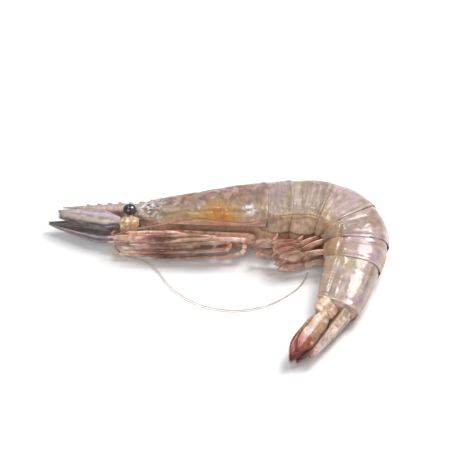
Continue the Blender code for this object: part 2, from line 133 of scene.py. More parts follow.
# By millimetres along the mid-line from the front of the head shell: its heading seen from above in
# degrees, its height over the board, and how far the back, the belly and the flank stand off it
HEADINGS = ((20.0, 1.0), (38.0, 0.0), (46.8, -4.0), (53.4, -16.0), (58.8, -38.0), (64.6, -68.0),
            (70.4, -92.0), (78.8, -103.0), (89.0, -106.0), (96.0, -118.0), (121.4, -127.0))
MID_HEIGHTS = ((-30.0, 5.2), (0.0, 5.5), (18.0, 6.4), (34.0, 7.1), (49.2, 7.4), (62.4, 7.1),
               (73.7, 6.4), (83.4, 5.7), (93.4, 5.0), (121.4, 4.6))
BACK = ((-4.0, 3.8), (0.0, 5.4), (8.0, 6.9), (18.0, 8.1), (28.0, 9.3), (36.0, 10.3), (47.3, 11.2),
        (56.7, 11.4), (66.1, 10.6), (74.6, 9.0), (81.4, 7.9), (89.4, 6.9), (94.4, 5.9))
BELLY = ((-4.0, 3.6), (0.0, 5.2), (8.0, 7.0), (18.0, 8.9), (28.0, 10.4), (36.0, 11.3), (47.3, 12.2),
         (56.7, 11.6), (66.1, 10.6), (74.6, 9.9), (81.4, 9.4), (89.4, 8.6), (94.4, 7.6))
FLANK = ((-4.0, 3.2), (0.0, 4.6), (8.0, 5.9), (18.0, 6.8), (28.0, 7.4), (36.0, 7.8), (47.3, 8.0),
         (56.7, 8.0), (66.1, 7.4), (74.6, 6.6), (81.4, 5.7), (89.4, 4.9), (94.4, 4.2))
LOWER_EDGE = math.radians(145)
AROUND = np.radians(np.linspace(-145, 145, 141))
# How the shell turns in under the belly: (share of the half width, rise above the lower edge)
UNDER = ((0.985, 0.1), (0.93, 0.2), (0.86, 0.55), (0.74, 1.0), (0.5, 1.25), (0.2, 1.2), (0.0, 1.1))
CARAPACE_LENGTH = 36.0
SEGMENT_LENGTHS = (7.5, 9.9, 8.9, 8.0, 7.6, 15.5)
# 1 would make the body's section an ellipse; less squares its corners off
SECTION_POWER = 0.85
MM_PER_DEGREE = 0.14
BOARD_GAP = 0.00002
# Each finer octave of a cloud is this many times smaller, and this much weaker
OCTAVE_STEP, OCTAVE_FADE = 1.9, 0.62

CARAPACE_TAN = linear(146, 120, 104)
LAVENDER = linear(176, 152, 160)
OLIVE = linear(158, 136, 86)
BROWN = linear(104, 78, 54)
GLAND_ORANGE = linear(173, 99, 7)
GLAND_YELLOW = linear(175, 137, 68)
BLUSH = linear(204, 154, 134)
GLINT_WHITE = linear(232, 232, 230)
GLINT_LILAC = linear(226, 216, 220)
BACK_BROWN = linear(138, 95, 80)
SIDE_ROSE = linear(150, 108, 96)
MOTTLE_DARK = linear(112, 92, 78)
MOTTLE_PALE = linear(202, 176, 160)
FACE_TAN = linear(206, 172, 144)
FACE_OCHRE = linear(206, 150, 70)
GRAIN_DARK = linear(52, 46, 44)
TURNED_TAN = linear(216, 176, 148)


def through(stations, s):
    """Values at s of a smooth curve through (station, value) pairs, held level past its ends."""
    at, value = np.array(stations, float).T
    ends = np.arange(len(at))
    before, after = np.maximum(ends - 1, 0), np.minimum(ends + 1, len(at) - 1)
    slope = (value[after] - value[before]) / (at[after] - at[before])
    i = np.clip(np.searchsorted(at, s) - 1, 0, len(at) - 2)
    span = at[i + 1] - at[i]
    u = np.clip((s - at[i]) / span, 0, 1)
    rise = 3 * u**2 - 2 * u**3
    return (
        value[i] * (1 - rise) + value[i + 1] * rise
        + span * slope[i] * (u**3 - 2 * u**2 + u) + span * slope[i + 1] * (u**3 - u**2)
    )


TRACE_STEP = 0.25
TRACE_S = np.arange(-60.0, 135.0 + TRACE_STEP, TRACE_STEP)
half_way = np.radians(through(HEADINGS, TRACE_S + TRACE_STEP / 2))
TRACE_X, TRACE_Y = (
    start + np.concatenate([[0], np.cumsum(way(half_way))[:-1] * TRACE_STEP])
    for start, way in ((TRACE_S[0] - ORIGIN_STATION, np.cos), (0.0, np.sin))
)
TRACE_TURN = np.radians(through(HEADINGS, TRACE_S))


def body(s, dorsal, left):
    """Points in metres, from a station along the mid-line and offsets to the back and the left."""
    s, dorsal, left = np.broadcast_arrays(*(np.asarray(v, float) for v in (s, dorsal, left)))
    turn = np.interp(s, TRACE_S, TRACE_TURN)
    x = np.interp(s, TRACE_S, TRACE_X) - dorsal * np.sin(turn) + ORIGIN_SHIFT[0]
    y = np.interp(s, TRACE_S, TRACE_Y) + dorsal * np.cos(turn) + ORIGIN_SHIFT[1]
    return np.stack([x, y, np.maximum(through(MID_HEIGHTS, s) + left, 0.0)], -1) * MM


def on_plan(x, y, height):
    """A point in metres, from its place in millimetres as seen from above and its height in metres."""
    return np.array([(x + ORIGIN_SHIFT[0]) * MM, (y + ORIGIN_SHIFT[1]) * MM, height])


def above_board(points):
    points[..., 2] = np.maximum(points[..., 2], BOARD_GAP)
    return points


def skin(s, angle, grow=1.0):
    """(dorsal, left) of the body's skin at an angle round from the middle of the back."""
    up, out = np.cos(angle), np.sin(angle)
    height = np.where(up > 0, through(BACK, s), through(BELLY, s))
    dorsal = height * np.sign(up) * np.abs(up) ** SECTION_POWER
    left = through(FLANK, s) * np.sign(out) * np.abs(out) ** SECTION_POWER
    return dorsal * grow, left * grow


def unrolled(s, angle):
    """Points of the shell laid out flat, in millimetres."""
    return np.stack([s, np.degrees(angle) * MM_PER_DEGREE, np.zeros_like(s)], -1)


def full_turn(count):
    return np.linspace(0, 2 * np.pi, count, endpoint=False)


def unit(vectors):
    return vectors / np.linalg.norm(vectors, axis=-1, keepdims=True)


def cloud(points, size, seed):
    """Smooth random values, mostly from -1 to 1, over points in millimetres, in patches of this size."""
    total = 0.0
    points = np.asarray(points, float)
    for octave in range(3):
        # Each octave is turned, so that no patch lines up with its neighbours
        turn, tip = 0.7 + 1.9 * octave + seed, 0.5 + 1.3 * octave
        place = points @ np.array([
            [math.cos(turn) * math.cos(tip), math.sin(turn), math.cos(turn) * math.sin(tip)],
            [-math.sin(turn) * math.cos(tip), math.cos(turn), -math.sin(turn) * math.sin(tip)],
            [-math.sin(tip), 0.0, math.cos(tip)],
        ]) / (size / OCTAVE_STEP**octave) + seed * 7.31
        cell = np.floor(place).astype(np.int64)
        share = place - cell
        share = share * share * (3 - 2 * share)
        for corner in range(8):
            step = np.array([corner & 1, corner >> 1 & 1, corner >> 2 & 1])
            x, y, z = np.moveaxis(cell + step, -1, 0)
            # A whole number for every corner of a cell, stirred until it looks random
            mixed = (x * 73856093 ^ y * 19349663 ^ z * 83492791 ^ seed * 2654435761) & 0x7FFFFFFF
            mixed = (mixed ^ (mixed >> 13)) * 1274126177 & 0x7FFFFFFF
            mixed = (mixed ^ (mixed >> 16)) & 0xFFFF
            weight = np.prod(np.where(step, share, 1 - share), axis=-1)
            total = total + weight * (mixed / 32767.5 - 1) * OCTAVE_FADE**octave
    return total


def bump_at(value, centre, width):
    return np.exp(-(((value - centre) / width) ** 2))


def ramp(value, start, end):
    """0 before start, 1 past end, and smooth between them."""
    u = np.clip((value - start) / (end - start), 0, 1)
    return u * u * (3 - 2 * u)


def stain(colour, *layers):
    """A colour under layers of (other colour, how much it covers), the last on top."""
    for other, share in layers:
        share = np.clip(share, 0, 1)[..., None]
        colour = colour * (1 - share) + np.asarray(other) * share
    return colour


def near_line(s, angle, line, width):
    """1 on a line of (station, degrees) points drawn on the shell, falling off over width mm."""
    out = np.zeros(np.broadcast(s, angle).shape)
    reach = np.degrees(np.abs(angle))
    for (s0, a0), (s1, a1) in zip(line, line[1:]):
        run = np.array([s1 - s0, (a1 - a0) * MM_PER_DEGREE])
        past, round_ = s - s0, (reach - a0) * MM_PER_DEGREE
        along = np.clip((past * run[0] + round_ * run[1]) / (run @ run), 0, 1)
        gap = np.hypot(past - along * run[0], round_ - along * run[1])
        out = np.maximum(out, np.exp(-((gap / width) ** 2)))
    return out


def grid_part(points, tint):
    """One skin of rows and columns that wraps round its columns, with each end closed by a fan."""
    return {"points": points, "tint": np.broadcast_to(tint, points.shape)}


def shell_rows(rows, around, relief, colour, under_colour):
    """A shell piece from rows of (station at each angle, growth, lobe); relief and colour are rules."""
    shares = np.array([w for w, _ in UNDER] + [-w for w, _ in UNDER[-2::-1]])
    rises = np.array([r for _, r in UNDER] + [r for _, r in UNDER[-2::-1]])
    turned = 0.85 * ramp(np.abs(shares), 0.6, 0.95)
    points, tints = [], []
    for s, grow, lobe in rows:
        s = np.broadcast_to(s, around.shape)
        dorsal, left = skin(s, around, grow)
        lift = relief(s, around)
        dorsal = np.where(dorsal < 0, dorsal * lobe, dorsal) + lift * np.cos(around)
        left = left + lift * np.sin(around)
        points.append(body(
            np.concatenate([s, np.full(len(shares), s[-1])]),
            np.concatenate([dorsal, dorsal[-1] + rises]),
            np.concatenate([left, left[-1] * shares]),
        ))
        shown = colour(s, around)
        below = stain(np.broadcast_to(under_colour, (len(shares), 3)), (shown[-5], turned))
        tints.append(np.concatenate([shown, below]))
    return grid_part(np.array(points), np.array(tints))


def tint_mesh(mesh, colours):
    """Gives every vertex the colour that the finishes read."""
    colours = np.concatenate([colours, np.ones((len(colours), 1))], 1)
    mesh.color_attributes.new("tint", "FLOAT_COLOR", "POINT").data.foreach_set("color", colours.ravel())


def made_mesh(name, parts):
    """One mesh of all the parts' skins, with its colours and a grain map in centimetres."""
    places, tints, corners, grains, base = [], [], [], [], 0
    for part in parts:
        points, tint = part["points"], part["tint"]
        rows, cols = points.shape[:2]
        along = np.linalg.norm(np.diff(points, axis=0), axis=-1).mean(1) / 0.01
        along = np.concatenate([[0], np.cumsum(along)])
        round_ = np.linalg.norm(np.roll(points, -1, 1) - points, axis=-1).mean(0) / 0.01
        round_ = np.concatenate([[0], np.cumsum(round_)])
        index = np.arange(rows * cols).reshape(rows, cols) + base
        following = np.roll(index, -1, 1)
        quads = np.stack([index[:-1], following[:-1], following[1:], index[1:]], -1).reshape(-1, 4)
        u0, u1 = (np.broadcast_to(line[:, None], (rows - 1, cols)) for line in (along[:-1], along[1:]))
        v0, v1 = (np.broadcast_to(line, (rows - 1, cols)) for line in (round_[:-1], round_[1:]))
        grain = np.stack([np.stack(p, -1) for p in ((u0, v0), (u0, v1), (u1, v1), (u1, v0))], -2)
        corners += quads.tolist()
        grains.append(grain.reshape(-1, 2))
        places.append(points.reshape(-1, 3))
        tints.append(tint.reshape(-1, 3))
        base += rows * cols
        for row, ring in ((0, index[0]), (-1, index[-1])):
            places.append(points[row].mean(0, keepdims=True))
            tints.append(tint[row].mean(0, keepdims=True))
            fan = [[int(ring[k]), int(ring[(k + 1) % cols]), base] for k in range(cols)]
            corners += [f[::-1] for f in fan] if row == 0 else fan
            grains.append(np.full((3 * cols, 2), along[row]))
            base += 1
    mesh = bpy.data.meshes.new(name)
    mesh.from_pydata(np.concatenate(places), [], corners)
    mesh.uv_layers.new(name="grain").data.foreach_set("uv", np.concatenate(grains).ravel())
    tint_mesh(mesh, np.concatenate(tints))
    mesh.shade_smooth()
    return mesh


def outward(mesh):
    """Turns the faces to point out of the solid that they close."""
    work = bmesh.new()
    work.from_mesh(mesh)
    bmesh.ops.recalc_face_normals(work, faces=work.faces)
    work.to_mesh(mesh)
    work.free()
    return mesh


def dress(name, parts, finish, slot, *nodes):
    """A finished piece of the prawn in place of its plain solids."""
    mesh = outward(made_mesh(name, parts))
    mesh.materials.append(finish)
    piece = bpy.data.objects.new(name, mesh)
    bpy.context.scene.collection.objects.link(piece)
    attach(piece, "root")
    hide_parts(*nodes)


def add_node(tree, kind, **values):
    """A new node with its inputs, or else its settings, filled in."""
    node = tree.nodes.new(kind)
    for key, value in values.items():
        if key in node.inputs:
            node.inputs[key].default_value = value
        else:
            setattr(node, key, value)
    return node


def spread(tree, value, given, wanted):
    """A value stretched from one (low, high) to another, and held at its ends."""
    node = tree.nodes.new("ShaderNodeMapRange")
    node.inputs["From Min"].default_value, node.inputs["From Max"].default_value = given
    node.inputs["To Min"].default_value, node.inputs["To Max"].default_value = wanted
    tree.links.new(value, node.inputs["Value"])
    return node.outputs["Result"]


def blended(tree, way, base, other):
    """Two colours multiplied or added."""
    node = add_node(tree, "ShaderNodeMix", data_type="RGBA", blend_type=way)
    node.inputs["Factor"].default_value = 1.0
    tree.links.new(base, node.inputs["A"])
    tree.links.new(other, node.inputs["B"])
    return node.outputs["Result"]


def covered(tree, base, cover, *shares):
    """A colour under a plain one, which covers the product of two shares of it."""
    share = add_node(tree, "ShaderNodeMath", operation="MULTIPLY")
    for k in (0, 1):
        tree.links.new(shares[k], share.inputs[k])
    node = add_node(tree, "ShaderNodeMix", data_type="RGBA")
    node.inputs["B"].default_value = (*cover, 1.0)
    tree.links.new(share.outputs["Value"], node.inputs["Factor"])
    tree.links.new(base, node.inputs["A"])
    return node.outputs["Result"]


# How many patches, crowds of freckles, films of water, dents and grains go to a metre of skin
PATCH_SCALE, CROWD_SCALE, FILM_SCALE, DENT_SCALE, GRAIN_SCALE = 420.0, 190.0, 260.0, 330.0, 1000.0 / 0.6
# Muscle bundles to a centimetre, round the body and along it
BUNDLES = (26.0, 3.0, 1.0)


def wet_finish(name, mottle, rough=(0.18, 0.4), gloss=0.9, flesh=0.25, flesh_reach=0.0012,
               freckles=0.0, freckle_size=0.35, freckle_colour=(0.05, 0.035, 0.03), streaks=0.0,
               relief=0.00005):
    """Wet animal skin: the piece's own tints, mottled and freckled, under a film of water."""
    made = bpy.data.materials.new(name)
    made.use_nodes = True
    tree = made.node_tree
    shader = tree.nodes["Principled BSDF"]
    link = tree.links.new
    where = add_node(tree, "ShaderNodeTexCoord").outputs["Object"]

    def noise(scale, **values):
        placed = add_node(tree, "ShaderNodeTexNoise", Scale=scale, **values)
        link(where, placed.inputs["Vector"])
        return placed.outputs["Fac"]

    tint = add_node(tree, "ShaderNodeAttribute", attribute_name="tint").outputs["Color"]
    patches = noise(PATCH_SCALE, Detail=5.0, Roughness=0.62)
    lightness = spread(tree, patches, (0.3, 0.7), (1 - mottle, 1 + mottle * 0.8))
    colour = blended(tree, "MULTIPLY", tint, lightness)

    if streaks:
        drawn = add_node(tree, "ShaderNodeMapping", Scale=BUNDLES)
        link(add_node(tree, "ShaderNodeUVMap", uv_map="grain").outputs["UV"], drawn.inputs["Vector"])
        bundles = add_node(tree, "ShaderNodeTexNoise", Scale=1.0, Detail=3.0, Distortion=0.4)
        link(drawn.outputs["Vector"], bundles.inputs["Vector"])
        strength = spread(tree, bundles.outputs["Fac"], (0.36, 0.64), (1 - streaks, 1 + streaks * 0.7))
        colour = blended(tree, "MULTIPLY", colour, strength)

    if freckles:
        cells = add_node(tree, "ShaderNodeTexVoronoi", Scale=1000.0 / freckle_size, Randomness=1.0)
        link(where, cells.inputs["Vector"])
        dot = spread(tree, cells.outputs["Distance"], (0.12, 0.34), (freckles, 0.0))
        crowding = spread(tree, noise(CROWD_SCALE, Detail=2.0), (0.42, 0.62), (0.0, 1.0))
        colour = covered(tree, colour, freckle_colour, dot, crowding)
    link(colour, shader.inputs["Base Color"])
    link(spread(tree, noise(FILM_SCALE, Detail=3.0), (0.35, 0.65), rough), shader.inputs["Roughness"])

    raised = add_node(tree, "ShaderNodeBump", Strength=0.6, Distance=relief)
    link(noise(GRAIN_SCALE, Detail=6.0, Roughness=0.6), raised.inputs["Height"])
    dented = add_node(tree, "ShaderNodeBump", Strength=0.5, Distance=relief * 5)
    link(noise(DENT_SCALE, Detail=2.0), dented.inputs["Height"])
    link(raised.outputs["Normal"], dented.inputs["Normal"])
    link(dented.outputs["Normal"], shader.inputs["Normal"])

    shader.inputs["IOR"].default_value = 1.45
    shader.inputs["Coat Weight"].default_value = gloss
    shader.inputs["Coat Roughness"].default_value = 0.08
    shader.inputs["Coat IOR"].default_value = 1.33
    shader.inputs["Subsurface Weight"].default_value = flesh
    shader.inputs["Subsurface Radius"].default_value = (1.0, 0.65, 0.45)
    shader.inputs["Subsurface Scale"].default_value = flesh_reach
    return made


SHELL_FINISH = wet_finish("clear_shell", freckles=0.55, streaks=0.10, mottle=0.22)
DULL_SHELL_FINISH = wet_finish(
    "drained_shell", rough=(0.32, 0.5), gloss=0.35, freckles=0.6, streaks=0.12, mottle=0.25
)

FRONT_EDGE = ((0.0, -2.5), (35.0, 0.8), (55.0, 0.6), (72.0, -1.6), (95.0, -0.4), (125.0, 1.5),
              (145.0, 4.5))
CERVICAL_GROOVE = ((9.5, 92), (11.0, 76), (14.0, 56), (16.5, 36))
HEPATIC_RIDGE = ((-1.2, 72), (4.0, 77), (9.0, 84))
GILL_LINE = ((14.0, 58), (20.0, 54), (27.0, 58), (34.0, 60))
LOWER_FOLD = ((4.0, 116), (12.0, 106), (22.0, 110), (34.0, 116))


def rear_edge(boundary, angle):
    """Station of a shell piece's rear edge: swept back over the flank and the lower lobe."""
    sweep = 1.4 if boundary < len(SEGMENT_LENGTHS) - 1 else 0.6
    start = CARAPACE_LENGTH + sum(SEGMENT_LENGTHS[:boundary])
    return start + sweep * (np.sin(angle) ** 2 - 0.5)


def carapace_relief(s, angle):
    degrees = np.degrees(np.abs(angle))
    ridge_on = ramp(s, -3, 1) * (1 - ramp(s, 20, 30))
    lift = 0.5 * bump_at(degrees, 0, 5) * ridge_on - 0.22 * bump_at(degrees, 12, 5) * ridge_on
    lift -= 0.34 * near_line(s, angle, CERVICAL_GROOVE, 0.9)
    lift += 0.24 * near_line(s, angle, HEPATIC_RIDGE, 0.7)
    lift -= 0.10 * near_line(s, angle, GILL_LINE, 0.8)
    lift -= 0.12 * near_line(s, angle, LOWER_FOLD, 1.0)
    lift += 0.16 * bump_at(degrees, 143, 3.5)
    rear = rear_edge(0, angle)
    lift += 0.12 * bump_at(s, rear - 0.5, 0.5) - 0.12 * bump_at(s, rear - 1.7, 0.7)
    flat = unrolled(s, angle)
    return lift + 0.14 * cloud(flat, 4.5, 3) + 0.05 * cloud(flat, 1.6, 4)


def carapace_colour(s, angle):
    degrees = np.degrees(np.abs(angle))
    flat = unrolled(s, angle)
    patch = cloud(flat, 5.0, 11)
    colour = np.broadcast_to(CARAPACE_TAN, (*np.broadcast(s, angle).shape, 3)).copy()
    colour = stain(
        colour,
        (LAVENDER, 0.5 * (1 - ramp(degrees, 70, 104)) * ramp(patch + 0.3, 0, 1)),
        (BACK_BROWN, 0.75 * (1 - ramp(degrees, 44, 84)) * ramp(s, 4, 14)),
        (SIDE_ROSE, 0.5 * bump_at(degrees, 78, 22) * ramp(cloud(flat, 3.1, 13), -0.2, 0.6)),
        (MOTTLE_DARK, 0.6 * ramp(cloud(flat, 2.2, 12), 0.0, 0.7)),
        (MOTTLE_PALE, 0.38 * ramp(cloud(flat, 1.6, 18), 0.1, 0.6)),
        (OLIVE, 0.55 * bump_at(degrees, 118, 13) * ramp(s, -2, 8) * (0.7 + 0.5 * patch)),
    )
    gland = np.hypot((s - 22.0) / 5.4, (degrees - 127) / 30)
    colour = stain(
        colour,
        (GLAND_YELLOW, 0.75 * (1 - ramp(gland, 0.7, 1.7))),
        (GLAND_ORANGE, 0.95 * (1 - ramp(gland + 0.14 * patch, 0.3, 1.05))),
        (GLAND_YELLOW, 0.7 * bump_at(np.hypot((s - 15.5) / 5, (degrees - 124) / 12), 0, 1)),
        (BROWN, 0.5 * near_line(s, angle, LOWER_FOLD, 0.45)),
        (BROWN, 0.35 * near_line(s, angle, CERVICAL_GROOVE, 0.7)),
    )
    # A painted highlight: a small pale lilac glint patch on the rear of the head shell
    glint = bump_at(np.hypot((s - 31.5) / 1.9, (degrees - 110) / 9), 0, 1)
    colour = stain(colour, (GLINT_LILAC, glint * ramp(cloud(flat, 0.9, 16), -0.3, 0.3)))
    # Painted sparkle highlights as white grains, with dark grains, over the eye socket and the face
    # inside the front edge
    painted_sparkle_area = bump_at(np.hypot(s / 4.5, (degrees - 84) / 38), 0, 1)
    face = ramp(through(FRONT_EDGE, degrees) - s, -0.2, 0.5)
    colour = stain(
        colour,
        (FACE_TAN, 0.8 * face),
        (FACE_OCHRE, 0.7 * face * ramp(cloud(flat, 1.4, 17), 0.1, 0.5)),
    )
    grains = np.maximum(painted_sparkle_area, 0.8 * face)
    colour = stain(
        colour,
        (GLINT_WHITE, grains * ramp(cloud(flat, 0.8, 14), -0.05, 0.35)),
        (GRAIN_DARK, grains * ramp(cloud(flat, 0.9, 15), 0.35, 0.65)),
        (BLUSH, 0.5 * bump_at(degrees, 140, 9)),
        (BROWN, 0.35 * bump_at(degrees, 146, 2)),
    )
    return colour


def carapace_rows():
    front = through(FRONT_EDGE, np.degrees(np.abs(AROUND)))
    rear = rear_edge(0, AROUND) - 0.2
    rows = [(front - 2.4, 0.45, 1.0), (front - 2.1, 0.62, 1.0), (front - 1.8, 0.78, 1.0),
            (front - 1.1, 0.88, 1.0), (front - 0.35, 0.945, 1.0)]
    for u in np.linspace(0, 1, 120):
        rows.append((front * (1 - u) + (rear + 0.2) * u, 0.97 + 0.042 * u, 1.0))
    rows += [(rear + 0.34, 1.002, 1.0), (rear + 0.32, 0.988, 1.0), (rear - 0.4, 0.978, 1.0),
             (rear - 1.6, 0.97, 1.0), (rear - 1.8, 0.8, 1.0)]
    return rows


# The spike between the eyes is one with the ridge on the back: a blade deeper than wide, with eight
# saw teeth on top and two below, all leaning forwards.
ROSTRUM_ROOT = 16.0
ROSTRUM_REACH = 25.0
ROSTRUM_RISE = 5.3
ROSTRUM_HALF_DEPTH = 1.7
ROSTRUM_HALF_WIDTH = 0.9
SPIKE_GREY = linear(168, 154, 140)
# Each tooth: how far along the spike it stands, its size, and 1 for the top or -1 for below
TEETH = [(0.24 + 0.08 * k, 1.0 - 0.05 * k, 1) for k in range(8)] + [(0.74, 0.7, -1), (0.84, 0.7, -1)]


def rostrum():
    turn = full_turn(28)
    points, tints = [], []
    for u in np.linspace(0, 1, 200):
        s = ROSTRUM_ROOT - (ROSTRUM_REACH + ROSTRUM_ROOT) * u
        blend = np.clip((u - 0.3) / 0.25, 0, 1)
        on_back = through(BACK, np.array(s)) - 1.3 * (1 - min(u / 0.3, 1))
        middle = on_back * (1 - blend) + ROSTRUM_RISE * blend
        taper = min(1.0, 0.45 + 1.4 * u) * (1 - 0.88 * u**2.2)
        wide = ROSTRUM_HALF_WIDTH * (1 - 0.75 * u)
        up = ROSTRUM_HALF_DEPTH * taper * np.cos(turn)
        out = wide * np.sin(turn) * (0.72 + 0.28 * np.abs(np.sin(turn)) ** 3)
        for place, size, side in TEETH:
            # A tooth climbs over 2.4 mm towards its point and drops off steeply past it
            ahead = (u - place) * (ROSTRUM_REACH + ROSTRUM_ROOT) / size
            climb = ramp(np.array(ahead), -0.9, 1.5) * (1 - ramp(np.array(ahead), 1.5, 1.95))
            crest = np.clip(side * np.cos(turn), 0, 1) ** 9
            up = up + side * 0.95 * size * climb * crest
        points.append(body(s, middle + up, out))
        flat = np.stack([np.full(28, s), up, out], -1)
        tint = np.broadcast_to(SPIKE_GREY, (28, 3))
        tint = stain(
            tint,
            (LAVENDER, 0.6 * ramp(cloud(flat, 3.0, 21), -0.2, 0.6)),
            (BROWN, 0.75 * ramp(np.abs(np.cos(turn)), 0.8, 1.0) * ramp(np.full(28, u), 0.3, 0.8)),
        )
        tints.append(tint)
    return grid_part(np.array(points), np.array(tints))


dress(
    "head_shell",
    [
        shell_rows(carapace_rows(), AROUND, carapace_relief, carapace_colour, TURNED_TAN),
        rostrum(),
    ],
    DULL_SHELL_FINISH,
    "shell",
    "carapace",
)


# The six rings of the tail.
# Hoops of the same clear shell, each with a rolled rear rim that slides over the next one. The
# muscle inside shows through as light and dark bundles. The last ring is long and plain.

TAN = linear(176, 150, 112)
RING_TANS = (linear(148, 131, 120), linear(150, 131, 118), linear(166, 140, 127), linear(146, 122, 102),
             linear(160, 127, 104), linear(168, 150, 139))
MUSCLE_PALE = linear(194, 174, 158)
MUSCLE_DARK = linear(140, 120, 104)
PLEURA_PINK = linear(192, 152, 124)
RIM_HIGHLIGHT = linear(214, 200, 184)
CUFF_PINK = linear(206, 172, 154)
CUFF_RED = linear(158, 104, 88)
FLAP_TAN = linear(216, 172, 144)
FLAP_REACH = 160 / 145
# For each ring: its ridge along the back, how rough it is and how far the lavender shows
RING_KEELS = (0.0, 0.0, 0.0, 0.32, 0.36, 0.30)
RING_ROUGHNESS = (1.0, 1.0, 1.0, 0.8, 0.4, 0.2)
RING_LAVENDER = (0.1, 0.1, 0.25, 0.25, 0.5, 0.15)


def tail_relief(number):
    start, length = CARAPACE_LENGTH + sum(SEGMENT_LENGTHS[: number - 1]), SEGMENT_LENGTHS[number - 1]

    def relief(s, angle):
        degrees = np.degrees(np.abs(angle))
        front, rear = rear_edge(number - 1, angle), rear_edge(number, angle)
        u = (s - front) / (rear - front)
        lift = -0.14 * bump_at(u, 0.26, 0.07) * (1 - ramp(degrees, 95, 115))
        lift += 0.07 * bump_at(s, rear - 0.45, 0.45) - 0.08 * bump_at(s, rear - 1.5, 0.6)
        lift -= 0.22 * near_line(s, angle, ((start + 0.1 * length, 108), (start + length, 116)), 0.8)
        lift += 0.14 * bump_at(degrees, 156, 4)
        lift += RING_KEELS[number - 1] * bump_at(degrees, 0, 4.5) * ramp(u, 0.1, 0.35)
        if number == 6:
            lift -= 0.10 * near_line(s, angle, ((start + 2, 104), (start + length - 1, 108)), 0.8)
        flat = unrolled(s, angle)
        lumps = 0.13 * cloud(flat, 4.0, 30 + number) + 0.05 * cloud(flat, 1.5, 40 + number)
        return lift + RING_ROUGHNESS[number - 1] * lumps

    return relief


def tail_colour(number):
    def colour(s, angle):
        degrees = np.degrees(np.abs(angle))
        front, rear = rear_edge(number - 1, angle), rear_edge(number, angle)
        u = (s - front) / (rear - front)
        flat = unrolled(s, angle)
        patch = cloud(flat, 4.5, 50 + number)
        tint = np.broadcast_to(RING_TANS[number - 1], (*s.shape, 3)).copy()
        sway = (0.35 * np.sin(degrees / 16))[..., None] * (1, 0, 0)
        bundles = cloud(flat * (1.0, 0.16, 1.0) + sway, 0.62, 7)
        upper = 1 - ramp(degrees, 96, 112)
        if number == 6:
            bundles = cloud(flat * (0.1, 1.0, 1.0), 0.42, 8)
            upper = 1 - 0.3 * ramp(degrees, 96, 112)
        tint = stain(
            tint,
            (MUSCLE_PALE, 0.6 * ramp(bundles, 0.05, 0.5) * upper),
            (MUSCLE_DARK, 0.55 * ramp(-bundles, 0.05, 0.5) * upper),
            (LAVENDER, 0.65 * ramp(patch, 0.0, 0.5) * (1 - ramp(degrees, 60, 105))),
            (LAVENDER, RING_LAVENDER[number - 1] * upper),
            (TAN, 0.55 * bump_at(degrees, 2, 7)),
            (OLIVE, 0.5 * ramp(cloud(flat, 3.4, 60 + number), 0.2, 0.7)),
        )
        pleura = ramp(degrees, 106, 120) * (0.5 if number == 6 else 1.0)
        tint = stain(
            tint,
            (PLEURA_PINK, pleura * (0.45 + 0.35 * cloud(flat, 2.6, 70))),
            (OLIVE, pleura * 0.5 * ramp(cloud(flat, 1.7, 71), 0.0, 0.6)),
            (BROWN, pleura * 0.4 * ramp(cloud(flat, 1.1, 72), 0.25, 0.7)),
            (BROWN, 0.45 * bump_at(degrees, 160, 3.0)),
        )
        worn = ramp(cloud(flat, 2.4, 76), -0.3, 0.6)
        tint = stain(
            tint,
            # A painted highlight: a pale, patchy line along the upper part of the rear rim
            (RIM_HIGHLIGHT, 0.5 * worn * bump_at(s, rear - 0.25, 0.3) * upper),
            (BROWN, 0.30 * bump_at(s, rear - 0.8, 0.3)),
        )
        if number == 6:
            tint = stain(
                tint,
                (CUFF_PINK, 0.55 * ramp(u, 0.86, 1.0)),
                (CUFF_RED, 0.6 * ramp(u, 0.99, 1.04) * ramp(cloud(flat, 1.2, 77), -0.2, 0.4)),
            )
        return tint

    return colour


def tail_rows(number, around):
    front, rear = rear_edge(number - 1, around) + 0.1, rear_edge(number, around)
    last = number == len(SEGMENT_LENGTHS)
    rows = [(front - 1.35, 0.82, 0.93), (front - 1.3, 0.90, 0.93), (front - 0.9, 0.935, 0.93),
            (front - 0.3, 0.962, 0.93)]
    for u in np.linspace(0, 1, 66 if last else 44):
        lobe = 1.0 if last else 0.90 + 0.10 * math.sin(math.pi * u) ** 0.7
        rows.append((front * (1 - u) + rear * u, 0.978 + 0.026 * u**0.8, lobe))
    rim = 1.0 if last else 0.90
    rows += [(rear + 0.14, 0.998, rim), (rear + 0.12, 0.988, rim), (rear - 0.4, 0.982, rim)]
    if last:
        # Soft skin bulges out of the last ring between the roots of the fan
        rows += [(rear - 0.3, 0.90, rim), (rear + 0.5, 0.82, rim), (rear + 1.0, 0.62, rim),
                 (rear + 1.2, 0.35, rim)]
    else:
        rows += [(rear - 1.2, 0.972, rim), (rear - 1.3, 0.82, rim)]
    return rows


for number in range(1, len(SEGMENT_LENGTHS) + 1):
    # The side flaps of all but the last ring reach further under the belly than the head shell does
    around = AROUND * (1.0 if number == len(SEGMENT_LENGTHS) else FLAP_REACH)
    rows = tail_rows(number, around)
    dress(
        f"tail_ring_{number}",
        [shell_rows(rows, around, tail_relief(number), tail_colour(number), FLAP_TAN)],
        SHELL_FINISH if number > 3 else DULL_SHELL_FINISH,
        "shell",
        f"abdomen_segment_{number}",
    )


# The chest between the shell's lower edges.
# Soft skin over the plates that the legs hang from, with a lump at the root of every leg.

LEG_BASES = (11.5, 16.0, 20.5, 25.0, 29.5)
CHEST_START, CHEST_LENGTH = 6.5, 26.5
CHEST_TAN = linear(204, 164, 136)
CHEST_PINK = linear(214, 150, 130)


